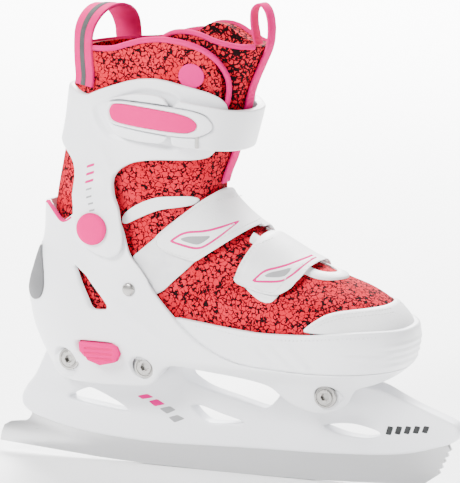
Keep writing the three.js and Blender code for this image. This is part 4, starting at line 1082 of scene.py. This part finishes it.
tongue_outline = rounded([(-33, 176), (-33, 262), (-28, 267), (-22, 270.5), (-14, 270.5),
                          (-6, 269), (2, 265), (12, 261.5), (45, 260.5), (45, 176)], 2)
tongue = wall("tongue_look", tongue_outline, tongue_back, tongue_front, cell=1.5, edge=2.6,
              narrow=TONGUE_NARROW)
hand_over(tongue, DARK_KNIT, "cuff", "knit", "tongue")
print("tongue faces:", len(tongue.data.polygons))


# %% [markdown]
# ## Bindings, trims and straps
# Binding tape runs round every cut edge of the knit. Straps and trims are thin faux
# leather, so they are walls of their own a millimetre or two outside the knit.

# %% Bindings of the collar and the tongue, and a plain badge
BOTH_SIDES = ((-1, "outer"), (1, "inner"))


def binding(name, points, lift, section, body, count, narrow=0.0):
    """Tape over an edge, on the outer and on the inner side."""
    for side, label in BOTH_SIDES:
        path, out = on_boot(points, lift, side, count, narrow)
        hand_over(sweep(name + label, path, out, section), TAPE, body, "webbing")


collar_edge = [(-90.5, 258.2), (-75, 258.6), (-59, 259.5), (-50, 262), (-40, 264.6), (-29, 265.7),
               (-21, 265.3), (-12, 263.6), (-4, 260.6), (2, 256), (5.6, 250.5), (7.6, 243),
               (6.6, 233), (4, 223)]
binding("collar_binding_", collar_edge, -0.8, half_round(3.4, 2.4), "cuff", 120)
tongue_edge = [(-30, 263.5), (-27.4, 267), (-21, 269.8), (-13, 270.2), (-6, 268.6), (2, 265),
               (12, 261.8), (20, 260.8)]
binding("tongue_binding_", tongue_edge, -1.0, half_round(3.2, 2.3), "cuff", 70, TONGUE_NARROW)
badge = wall("collar_badge", circle((-9.3, 244.6), 7.4, 40), -0.6, 0.9, "outer", cell=0.8, edge=0.5)
hand_over(badge, PRINT_PINK, "cuff", "pink_plastic")
print("badge faces:", len(badge.data.polygons))


# %% [markdown]
# ## Hook-and-loop straps
# Each strap is a sewn half on the inner side, a flap that peels off on the outer side and a
# pad under the flap. All are leather walls over the knit, and their prints are thinner
# walls on top.

# %% Straps over the instep
UPPER_FLAP = [(-4, 173.5), (-10, 169), (-19, 161), (-34, 148.5), (-34.5, 145), (-32, 140.5), (-12, 134.5),
              (-9, 134.5), (9, 148.5), (16, 153.5), (20, 156), (30, 160), (3, 180)]
UPPER_SEWN = [(-4, 173.5), (-14, 162), (-22, 140), (-18, 112), (12, 112), (16, 140), (18, 154), (30, 158),
              (3, 180)]
UPPER_PAD = [(-56, 129), (-33, 147.5), (-20, 157.5), (-3, 141), (-7, 134.5), (-38, 107)]
LOWER_FLAP = [(24, 148.5), (21, 141), (16.5, 130), (15, 123.5), (29, 120), (42, 118), (46, 121), (50, 129),
              (53, 134), (64, 140), (28, 160)]
LOWER_SEWN = [(24, 148.5), (18, 138), (15, 104), (44, 104), (49, 126), (53, 134), (64, 140), (28, 160)]
LOWER_PAD = [(22, 123), (41, 111.5), (49, 121), (45, 129), (25, 131)]


STRAP_LIFTS, PAD_LIFTS = (2.1, 4.5), (0.4, 1.6)


def flat_piece(name, outline, lifts, side, material, body, slot, *nodes, cell=1.2, edge=1.0):
    """A wall with softly rounded corners, handed over at once."""
    made = wall(name, rounded(outline, 2), *lifts, side, cell=cell, edge=edge)
    return hand_over(made, material, body, slot, *nodes)


for name, outline, lifts, side, material, body, slot, node_name in (
        ("upper_strap_inner_half", UPPER_SEWN, STRAP_LIFTS, "inner", LEATHER, "root", "faux_leather",
         "strap_upper"),
        ("upper_strap_flap", UPPER_FLAP, STRAP_LIFTS, "outer", LEATHER, "flap_upper", "faux_leather",
         "flap_upper"),
        ("upper_strap_pad", UPPER_PAD, PAD_LIFTS, "outer", CLOTH, "root", "mesh_cloth",
         "loop_pad_upper"),
        ("lower_strap_inner_half", LOWER_SEWN, STRAP_LIFTS, "inner", LEATHER, "toe", "faux_leather",
         "strap_lower"),
        ("lower_strap_flap", LOWER_FLAP, STRAP_LIFTS, "outer", LEATHER, "flap_lower", "faux_leather",
         "flap_lower"),
        ("lower_strap_pad", LOWER_PAD, PAD_LIFTS, "outer", LEATHER, "toe", "faux_leather",
         "loop_pad_lower")):
    flat_piece(name, outline, lifts, side, material, body, slot, node_name)

# %% Prints on the straps: a pink leaf with a grey heart inside it
UPPER_PRINT = [(10, 158.5), (2, 155.6), (-7, 152.9), (-18.7, 152.2), (-26.4, 146.5), (-25.7, 145.2),
               (-11.9, 141.6), (-6.2, 142.6), (2, 149.5)]
UPPER_HEART = [(-3, 149.9), (-8, 149.5), (-16.6, 149.3), (-21.6, 147.2), (-11.8, 144.5), (-8.6, 144.9)]
LOWER_PRINT = [(52, 139), (46, 137.2), (38.5, 134.2), (27.6, 131.6), (22.6, 125.7), (24.4, 124.6),
               (39.4, 124.9), (42.6, 127.6), (48.5, 132.8)]
LOWER_HEART = [(43.5, 133.6), (38.7, 131.8), (31.1, 130.3), (27.3, 127.6), (38.7, 127.8), (41, 129.8)]


def inset(outline, distance):
    """The outline moved inwards, corner by corner."""
    points = np.array(outline, float)
    before, after = points - np.roll(points, 1, axis=0), np.roll(points, -1, axis=0) - points
    turned_by = [np.stack([-run[:, 1], run[:, 0]], 1) / np.linalg.norm(run, axis=1)[:, None]
                 for run in (before, after)]
    way = turned_by[0] + turned_by[1]
    way *= 2 * distance / (way**2).sum(1)[:, None].clip(0.8)
    around = (points[:, 0] * np.roll(points[:, 1], -1) - points[:, 1] * np.roll(points[:, 0], -1)).sum()
    return points + way * np.sign(around)


for name, outline, lift, film, body, slot in (
        ("upper_strap_print", UPPER_PRINT, 4.45, PRINT_PINK, "flap_upper", "pink_plastic"),
        ("upper_strap_field", inset(UPPER_PRINT, 1.3), 4.52, PRINT_WHITE, "flap_upper", "white_plastic"),
        ("upper_strap_heart", UPPER_HEART, 4.6, PRINT_GRAY, "flap_upper", "gray_plastic"),
        ("lower_strap_print", LOWER_PRINT, 4.45, PRINT_PINK, "flap_lower", "pink_plastic"),
        ("lower_strap_field", inset(LOWER_PRINT, 1.2), 4.52, PRINT_WHITE, "flap_lower", "white_plastic"),
        ("lower_strap_heart", LOWER_HEART, 4.6, PRINT_GRAY, "flap_lower", "gray_plastic")):
    flat_piece(name, outline, (4.0, lift + 0.1), "outer", film, body, slot, cell=0.6, edge=0.1)


# %% [markdown]
# ## Trims
# White leather covers the ankle's seam, the toe and the edge of the throat. The throat's
# trim lies flat on the crest of the foot, where the side view sees nothing, so it is laid
# out from above and dropped onto the surface.

# %% Trims of the ankle and the toe
ANKLE_TRIM = [(-55, 153), (-55, 160), (-45, 167), (-33, 171.5), (-24, 172), (-14, 172), (-9, 170),
              (-12, 166.5), (-22, 165), (-31, 164), (-41, 160)]
for side in ("outer", "inner"):
    flat_piece("ankle_trim_look_" + side, ANKLE_TRIM, PAD_LIFTS, side, LEATHER, "root",
               "faux_leather", "ankle_trim_" + side, cell=0.9, edge=0.7)
TOE_CAP = [(63, 98), (64.5, 101), (70, 105), (76, 108.8), (83, 110.6), (97, 111.6), (150, 112.5),
           (150, 97)]
flat_piece("toe_cap_look", TOE_CAP, (0.5, 1.7), "both", LEATHER, "toe", "faux_leather", "toe_cap",
           cell=1.0)


# %% Trim of the throat
THROAT_START, THROAT_END = 19.5, 58
heights = np.linspace(100, 190, 1200)


def crest(x, y, lift):
    """Height of the surface above a place seen from above."""
    half = breadth(np.full(len(heights), x), heights, lift)
    front = front_edge(heights) + lift * slant(front_edge, heights)
    under = heights[(half >= abs(y)) & (front >= x)]
    return under.max() if len(under) else heights[0]


def throat(straight=26, bend=23):
    """A flat U: two straight legs and a half circle, as rows of points at growing reach."""
    quarter = np.pi / 2
    leg = np.linspace(THROAT_START, THROAT_END, straight)
    along = np.concatenate([leg, np.full(bend, float(THROAT_END)), leg[::-1]])
    turn = np.concatenate([np.full(straight, -quarter), np.linspace(-quarter, quarter, bend),
                           np.full(straight, quarter)])
    in_bend = np.abs(turn) < quarter - 1e-6
    tops, lows = [], []
    for reach, lift in ((10.0, 1.2), (10.6, 1.7), (13.5, 1.7), (16.4, 1.7), (17.0, 1.2)):
        x, y = along + reach * np.cos(turn) * in_bend, reach * np.sin(turn)
        tops.append([(px, py, crest(px, py, lift)) for px, py in zip(x, y)])
        lows.append([(px, py, crest(px, py, 0.3)) for px, py in zip(x, y)])
    ring, n = tops + lows[::-1], len(along)
    faces = []
    for k in range(len(ring)):
        after = (k + 1) % len(ring)
        for i in range(n - 1):
            faces.append([k * n + i, after * n + i, after * n + i + 1, k * n + i + 1])
    faces.append([k * n for k in range(len(ring))])
    faces.append([k * n + n - 1 for k in range(len(ring))][::-1])
    return new_object("throat_trim_look", np.concatenate([np.array(r) for r in ring]), faces)


hand_over(throat(), LEATHER, "toe", "faux_leather", "throat_trim")


# %% [markdown]
# ## The toe shell
# The toe shell is a rigid bumper. Its relief is part of its surface: slanting bars and an
# arrow on the side, and ribs round the toe.

# %% Bumper
BAR_SLANTS = [((31.4, 86.4), (40.9, 79.0)), ((39.8, 88.2), (53.2, 77.1)), ((51.9, 89.7), (63.9, 77.3))]
ARROW = [(79.3, 87.1), (110.2, 85.0), (90.2, 79.4), (95.5, 83.9)]


def under_shell(x, z):
    """1 where the bumper's rear end lies inside the heel shell."""
    return smoothstep(depth_inside(np.stack([x, z], 1), shell_outline), -0.8, 0.2)


def bumper_relief(x, z):
    """Slanting bars, an arrow, ribs round the toe and a lip along the lower edge."""
    raised_by = np.zeros(len(x))
    for (ax, az), (bx, bz) in BAR_SLANTS:
        run = np.array([bx - ax, bz - az])
        rel = np.stack([x - ax, z - az], 1)
        along = np.clip(rel @ run / (run @ run), 0, 1)
        off = np.hypot(*(rel - along[:, None] * run).T)
        raised_by += 0.7 * smoothstep(-off, -3.0, -2.0)
    raised_by += 0.6 * smoothstep(depth_inside(np.stack([x, z], 1), np.array(ARROW)), -0.3, 0.5)
    round_toe = smoothstep(x, 101, 108)
    for height in (78.5, 82.5, 86.5, 90.5):
        raised_by += 0.55 * round_toe * np.exp(-((z - height) / 0.9) ** 2)
    lip = 0.5 * smoothstep(z, 74.5, 77.5) - 0.5
    return raised_by + lip


BUMPER = [(-24, 101.5), (-12, 88), (9, 79), (25, 76), (27, 74), (150, 74), (150, 97.6), (114, 99),
          (104, 100), (92, 100), (78, 98.6), (63, 97.2), (36, 96.3), (12, 98)]
toe = wall("toe_shell_look", rounded(BUMPER, 2, 0.14), 1.6,
           lambda x, z: 4.8 - 1.7 * under_shell(x, z), cell=1.0, edge=1.1, relief=bumper_relief)
WINGS = [(-6, 97), (-6, 74), (60, 74), (60, 95), (36, 95), (12, 97)]
wings = wall("wings", WINGS, 2, 3.2, cell=2.5, edge=0.4)
toe_shell = merged("toe_shell_look", [toe, wings])
hand_over(toe_shell, WHITE, "toe", "white_plastic", "toe_shell")
print("toe shell faces:", len(toe_shell.data.polygons))


# %% [markdown]
# ## The cuff and its buckle
# The cuff hugs the collar and steps out over the heel shell where it turns on its pins.

# %% Cuff
def cuff_step(low, high):
    """A lift that steps out from the collar to pass over the heel shell."""
    return lambda x, z: low + (high - low) * smoothstep(z, 168, 194)


COLLAR_BAND = [(-150, 203), (-150, 237), (-95, 237), (-77, 230.5), (-67, 235), (-45, 242),
               (-28, 243), (-3, 236), (4, 232), (7, 227), (6.5, 220), (0.5, 201), (-5, 194),
               (-33, 194.3), (-46, 192.5), (-55, 188), (-59, 182)]
ARM = [(-55, 165), (-53.5, 148), (-53.5, 139.5), (-57, 135.5), (-62, 134.5), (-68, 136.5),
       (-75, 140.5), (-80, 147), (-81, 155), (-81, 178), (-84.5, 188.5), (-90, 195), (-98, 200.5),
       (-104, 203)]
POCKET = [(-70, 225), (-63, 228), (-44, 235), (-36, 237), (-15, 233), (-15, 200), (-36, 203.5),
          (-55, 206.5), (-62, 209), (-68, 217)]
pocket_edge = rounded(POCKET, 2)


def cuff_relief(x, z):
    """A ridge down the arm, a sunken seat for the buckle and a swelling round the pivot."""
    ridge_x = np.interp(z, [160, 168, 177, 188, 199], [-54, -55, -57, -61, -65])
    ridge = 0.8 * np.exp(-((x - ridge_x) / 2.6) ** 2)
    ridge *= smoothstep(z, 155, 170) * smoothstep(-z, -206, -194)
    inside = depth_inside(np.stack([x, z], 1), pocket_edge)
    seat = 0.7 * np.exp(-((inside + 1.6) / 1.5) ** 2) - 0.9 * smoothstep(inside, -1.0, 1.0)
    swell = 0.9 * np.exp(-(((x + 68) / 14) ** 2 + ((z - 150) / 14) ** 2))
    return ridge + seat + swell


cuff_outside = cuff_step(9.9, 3.4)
cuff = wall("cuff_look", rounded(COLLAR_BAND + ARM, 2, 0.2), cuff_step(6.9, 0.4), cuff_outside,
            cell=1.2, edge=1.2, relief=cuff_relief)
hand_over(cuff, WHITE, "cuff", "white_plastic", "cuff")
print("cuff faces:", len(cuff.data.polygons))


# %% Slanted marks printed down the arm, pink above grey
def over_cuff(by):
    """A lift above or below the cuff's outside."""
    return lambda x, z: cuff_outside(x, z) + cuff_relief(x, z) + by


for number, z in enumerate((189, 184.5, 180, 175.5, 171, 167, 163)):
    film, slot = (PRINT_PINK, "pink_plastic") if number < 3 else (PRINT_GRAY, "gray_plastic")
    middle = -72.6 + 0.12 * (189 - z)
    size = 1.0 if number < 3 else 0.7
    mark = [(middle - 2.4 * size, z - 1.5 * size), (middle + 2.4 * size, z + 0.3 * size),
            (middle + 2.4 * size, z + 1.9 * size), (middle - 2.4 * size, z + 0.1 * size)]
    printed = wall(f"arm_mark_{number + 1}", mark, over_cuff(-0.4), over_cuff(0.1), "outer", cell=0.6,
                   edge=0.05)
    hand_over(printed, film, "cuff", slot)

# %% Buckle
BASE = [(-59, 229), (-52, 232), (-40, 234.5), (-22, 232.5), (-24, 204.5), (-40, 205.5), (-52, 208),
        (-59, 214)]
LEVER = [(-58, 219), (-58.5, 224), (-56, 230), (-32, 228), (-14, 225.5), (-6, 222.5), (-3, 217),
         (-4, 212.5), (-10, 209), (-18, 209), (-44, 213.5), (-55, 216)]
INSERT = [(-54.5, 218.6), (-55.6, 224), (-53, 228.6), (-31, 225.6), (-19, 223.4), (-12.6, 220.8),
          (-9.8, 217), (-11, 213.4), (-15, 211.6), (-22, 212.2), (-43, 215.2), (-51.5, 217)]
lever_edge, insert_edge = rounded(LEVER, 2, 0.2), rounded(INSERT, 2, 0.2)


def base_lift(x, z):
    """A floor under the lever, with cheeks that rise round it."""
    away = -depth_inside(np.stack([x, z], 1), lever_edge)
    return 5.5 + smoothstep(away, 0.4, 1.2) * (0.8 + 2.7 * smoothstep(x, -62, -50))


flat_piece("buckle_base_look", BASE, (3.8, base_lift), "outer", WHITE, "cuff", "white_plastic",
           "buckle_base", cell=0.6, edge=0.9)


def lever_lift(x, z):
    """The lever's face, sunken where the pink insert sits."""
    seat = smoothstep(depth_inside(np.stack([x, z], 1), insert_edge), -0.6, 0.0)
    return 10.8 - 1.2 * seat


lever = wall("lever_look", lever_edge, 6.3, lever_lift, "outer", cell=0.55, edge=0.9)
hand_over(lever, WHITE, "lever", "white_plastic", "lever")
insert = wall("lever_insert_look", insert_edge, 9.9, 11.0, "outer", cell=0.6, edge=0.6)
hand_over(insert, PINK, "lever", "pink_plastic", "lever_insert")

# %% Buckle strap, forked round the lever, and its anchor on the inner side
BAND = [(-4, 227.5), (8, 223.5), (40, 217.5), (40, 193), (0, 199.5), (-18, 202.5)]
STRAP_OUTER = [(-21, 231.5)] + BAND + [(-24, 204.5)]
STRAP_INNER = [(-26, 231.5)] + BAND + [(-26, 204.5)]
FORK_ROOM = 0.7


def strap_lift(x, z):
    """Thick prongs beside the lever, a thinner ribbed band round the front."""
    return 9.8 - 1.0 * smoothstep(x, -6, 8)


from_middle = lever_edge - lever_edge.mean(0)
fork_hole = lever_edge + from_middle / np.linalg.norm(from_middle, axis=1)[:, None] * FORK_ROOM
strap_out = wall("strap_out", rounded(STRAP_OUTER, 1), 3.9, strap_lift, "outer", cell=0.8, edge=1.1,
                 holes=[fork_hole])
strap_in = wall("strap_in", rounded(STRAP_INNER, 1), 3.9, strap_lift, "inner", cell=1.2, edge=1.1)
buckle_strap = merged("cuff_strap_look", [strap_out, strap_in])
hand_over(buckle_strap, WHITE, "strap", "white_plastic", "cuff_strap")
ANCHOR = [(-44, 211), (-46, 218), (-44, 225), (-38, 229.5), (-26.8, 230.5), (-26.8, 205.5), (-38, 206.5)]
flat_piece("strap_anchor_look", ANCHOR, (3.9, 8.8), "inner", WHITE, "cuff", "white_plastic",
           "strap_anchor")
print("buckle strap faces:", len(buckle_strap.data.polygons))

# %% Grey inserts on the heel shell
HEEL_INSERT = [(-109, 140), (-113, 128), (-118, 113), (-117, 106.5), (-112, 103.5), (-106, 106),
               (-103.5, 113), (-104.8, 123)]
for side in ("outer", "inner"):
    flat_piece("heel_insert_look_" + side, HEEL_INSERT, (6.5, 7.6), side, GRAY, "root",
               "gray_plastic", "heel_insert_" + side, cell=0.8, edge=0.5)


# %% [markdown]
# ## Pull loops
# Webbing loops stand at the back of the collar and on the tongue. The heel loop starts low on
# both sides of the collar, so its band leans with the surface and turns level at the top.

# %% Heel loop and tongue ribbon
def heel_path(offset):
    """The loop's path and its way out, offset outwards from the webbing's inner face."""
    lean = math.radians(27)
    along = np.array([math.cos(lean), -math.sin(lean), 0])
    outward = np.array([-math.sin(lean), -math.cos(lean), 0])

    def end_place(z):
        x = rear_edge(z) + np.arange(60) * 0.7
        spots = np.stack([x, -breadth(x, np.full(60, z), 0.4), np.full(60, float(z))], 1)
        best = spots[np.argmax(spots @ outward)]
        return best - along * np.interp(z, [240.5, 262], [0, 9]) + outward * 0.3

    lower = [end_place(z) for z in (236.5, 242, 248, 255)]
    corner = end_place(262)
    span = -corner[1]
    arc = [np.array([corner[0], span * math.cos(a), 262 + 19 * math.sin(a)])
           for a in np.linspace(np.pi, 0, 13)]
    path = lower + arc + [p * [1, -1, 1] for p in lower[::-1]]
    path = through(path, 120)
    angle = lean * np.clip(path[:, 1] / span, -1, 1)
    across = np.stack([np.cos(angle), np.sin(angle), 0 * angle], 1)
    ahead = np.gradient(path, axis=0)
    out = np.cross(across, ahead)
    out /= np.linalg.norm(out, axis=1)[:, None]
    return path + out * offset, out


path, out = heel_path(0)
print("heel loop length:", round(float(np.linalg.norm(np.diff(path, axis=0), axis=1).sum())), "mm")
hand_over(sweep("heel_loop_look", path, out, flat_band(16, 1.9)), TAPE, "cuff", "webbing", "heel_loop")
path, out = heel_path(1.75)
hand_over(sweep("heel_loop_stripe", path, out, flat_band(4.2, 0.4, 0.15)), STRIPE, "cuff", "webbing")

ribbon_z = np.array([178, 185, 192, 199, 206, 212, 218, 224, 230, 236, 242, 248, 254, 258], float)
ribbon = [(float(front_edge(z)) + 1.0, 0, z) for z in ribbon_z]
ribbon += [(x, 0, z) for x, z in ((25.5, 264), (25.8, 273), (24, 281), (20.5, 284.5), (17, 282),
                                  (16.2, 276), (17.5, 267), (19.5, 260))]
path = through(ribbon, 110)
ahead = np.gradient(path, axis=0)
out = np.cross(np.array([[0, 1, 0]]), ahead)
out /= np.linalg.norm(out, axis=1)[:, None]
tongue_loop = sweep("tongue_loop_look", path, out, flat_band(11.5, 1.4))
hand_over(tongue_loop, TAPE, "cuff", "webbing", "tongue_loop")
print("ribbon length:", round(float(np.linalg.norm(np.diff(path, axis=0), axis=1).sum())), "mm")


# %% [markdown]
# ## Stitches
# A Geometry Nodes tree turns a path into a row of short threads. Its inputs are the
# spacing and the size of a stitch, so each seam uses the same tree.

# %% The stitch tree
def stitch_tree():
    """Threads along a path, at an even spacing."""
    tree = bpy.data.node_groups.new("stitch_row", "GeometryNodeTree")
    sockets = {}
    for label, kind in (("Seam", "NodeSocketGeometry"), ("Spacing", "NodeSocketFloat"),
                        ("Stitch", "NodeSocketVector"), ("Thread", "NodeSocketMaterial")):
        sockets[label] = tree.interface.new_socket(label, in_out="INPUT", socket_type=kind).identifier
    tree.interface.new_socket("Geometry", in_out="OUTPUT", socket_type="NodeSocketGeometry")
    start, end = tree.nodes.new("NodeGroupInput"), tree.nodes.new("NodeGroupOutput")
    curve = node(tree, "GeometryNodeMeshToCurve", [("Mesh", start.outputs["Seam"])])
    even = node(tree, "GeometryNodeResampleCurve", [("Curve", curve.outputs["Curve"]),
                                                    ("Length", start.outputs["Spacing"])], mode="LENGTH")
    tangent = node(tree, "GeometryNodeInputTangent")
    facing = node(tree, "FunctionNodeAlignRotationToVector",
                  [("Vector", tangent.outputs["Tangent"])], axis="X")
    thread = node(tree, "GeometryNodeMeshUVSphere", [("Segments", 8), ("Rings", 6), ("Radius", 0.5)])
    placed = node(tree, "GeometryNodeInstanceOnPoints", [
        ("Points", even.outputs["Curve"]), ("Instance", thread.outputs["Mesh"]),
        ("Rotation", facing.outputs["Rotation"]), ("Scale", start.outputs["Stitch"])])
    real = node(tree, "GeometryNodeRealizeInstances", [("Geometry", placed.outputs["Instances"])])
    done = node(tree, "GeometryNodeSetMaterial", [("Geometry", real.outputs["Geometry"]),
                                                  ("Material", start.outputs["Thread"])])
    tree.links.new(done.outputs["Geometry"], end.inputs["Geometry"])
    return tree, sockets


STITCHES, STITCH_SOCKETS = stitch_tree()


def seam(name, rows, body, material=THREAD, slot="faux_leather", spacing=2.6, length=1.9, thick=0.55):
    """Sews along one or more paths of points in millimetres."""
    spots, edges = [], []
    for row in rows:
        first = len(spots)
        spots += (np.asarray(row) * MM).tolist()
        edges += [(i, i + 1) for i in range(first, len(spots) - 1)]
    mesh = bpy.data.meshes.new(name)
    mesh.from_pydata(spots, edges, [])
    obj = bpy.data.objects.new(name, mesh)
    bpy.context.scene.collection.objects.link(obj)
    modifier = obj.modifiers.new("sew", "NODES")
    modifier.node_group = STITCHES
    modifier[STITCH_SOCKETS["Spacing"]] = spacing * MM
    modifier[STITCH_SOCKETS["Stitch"]] = (length * MM, thick * MM, thick * MM)
    modifier[STITCH_SOCKETS["Thread"]] = material
    return hand_over(settled(obj, 180), material, body, slot)


def row(points, lift, side=-1, count=120):
    """A seam's path on the form."""
    return on_boot(points, lift, side, count)[0]


seam("upper_strap_stitches", [
    row([(7, 170), (-8, 167.5), (-18, 158.8), (-31.5, 148), (-32.2, 145.2), (-30.4, 142), (-12, 136.6),
         (-9.4, 136.8), (9, 150.6), (19, 156.8)], 4.55)], "flap_upper")
seam("lower_strap_stitches", [
    row([(31, 147.5), (25, 144), (22.6, 139.5), (18.6, 129.6), (17.4, 125.2), (29, 122), (41.4, 120.1),
         (44.4, 122.4), (48.2, 129.6), (52.6, 134.2)], 4.55)], "flap_lower")
CAP_SEAMS = ([(67, 101.6), (71.4, 104.4), (77, 107.4), (84, 109.1), (97, 110.1), (105, 110.2)],
             [(70, 101.4), (73, 103.4), (78.4, 105.8), (85, 107.4), (98, 108.3), (107, 108.3)])
cap_rows = [row(points, 1.75, side) for side in (-1, 1) for points in CAP_SEAMS]
seam("toe_cap_stitches", cap_rows, "toe", spacing=2.2, length=1.6)
bumper_top = [(-5, 97.2), (10, 96), (22, 94.2), (40, 93.6), (61, 94.3), (85, 96.4), (104, 96.8)]
edge_rows = [row(bumper_top, 4.85, side) for side in (-1, 1)]
seam("bumper_edge_dots", edge_rows, "toe", WHITE, "white_plastic", spacing=2.4, length=1.3, thick=1.0)

# %% [markdown]
# ## CAD pieces shown as they are
# The remaining pieces are hidden inside or tiny. They keep their CAD mesh and only get a
# finish.

# %% Finishes on the remaining CAD pieces
kept = {"footbed": FOAM, "slide_rack": GRAY, "button_spring": STEEL, "ankle_pin_outer": BOLT_STEEL,
        "ankle_pin_inner": BOLT_STEEL, "buckle_rivet_1": BOLT_STEEL, "buckle_rivet_2": BOLT_STEEL}
for name, finish in kept.items():
    data = frame["nodes"][name].data
    data.materials.clear()
    data.materials.append(finish)

# %% [markdown]
# ## Studio
# A pale floor, soft light from above and both sides, and a long lens.

# %% Floor, lights and camera
floor_mesh = bpy.data.meshes.new("floor")
floor_mesh.from_pydata([(-6, -6, 0), (6, -6, 0), (6, 6, 0), (-6, 6, 0)], [], [[0, 1, 2, 3]])
floor = bpy.data.objects.new("floor", floor_mesh)
bpy.context.scene.collection.objects.link(floor)
floor_finish = bpy.data.materials.new("pale_floor")
floor_finish.use_nodes = True
floor_shader = floor_finish.node_tree.nodes["Principled BSDF"]
floor_shader.inputs["Base Color"].default_value = (0.93, 0.93, 0.93, 1)
floor_shader.inputs["Roughness"].default_value = 0.9
floor_mesh.materials.append(floor_finish)

world = bpy.data.worlds.new("studio")
bpy.context.scene.world = world
world.use_nodes = True
world.node_tree.nodes["Background"].inputs["Color"].default_value = (1, 1, 1, 1)
world.node_tree.nodes["Background"].inputs["Strength"].default_value = 0.3


def area_light(name, place, target, size, power):
    """A round soft light that faces its target."""
    data = bpy.data.lights.new(name, "AREA")
    data.shape = "DISK"
    data.size = size
    data.energy = power
    light = bpy.data.objects.new(name, data)
    light.location = place
    light.rotation_euler = (Vector(target) - Vector(place)).to_track_quat("-Z", "Y").to_euler()
    bpy.context.scene.collection.objects.link(light)


area_light("key", (-0.55, -1.35, 1.15), (0, 0, 0.15), 0.6, 64)
area_light("side", (-1.3, -0.1, 0.7), (0, 0, 0.15), 0.6, 9)
area_light("fill", (1.3, -0.7, 0.6), (0, 0, 0.12), 0.8, 7)
area_light("top", (0.0, 0.5, 1.5), (0, 0, 0.14), 0.6, 26)
area_light("backdrop_near", (-0.6, 2.2, 2.2), (-0.6, 2.2, 0), 2.4, 470)
area_light("backdrop_far", (-1.6, 4.4, 2.4), (-1.6, 4.4, 0), 2.4, 700)

camera_data = bpy.data.cameras.new("camera")
camera_data.lens = 214
camera = bpy.data.objects.new("camera", camera_data)
camera.location = Vector((636.8, -1576.2, 421)) * MM
aim = Vector((0, 0, 141.88)) * MM
camera.rotation_euler = (aim - camera.location).to_track_quat("-Z", "Y").to_euler()
bpy.context.scene.collection.objects.link(camera)
bpy.context.scene.camera = camera
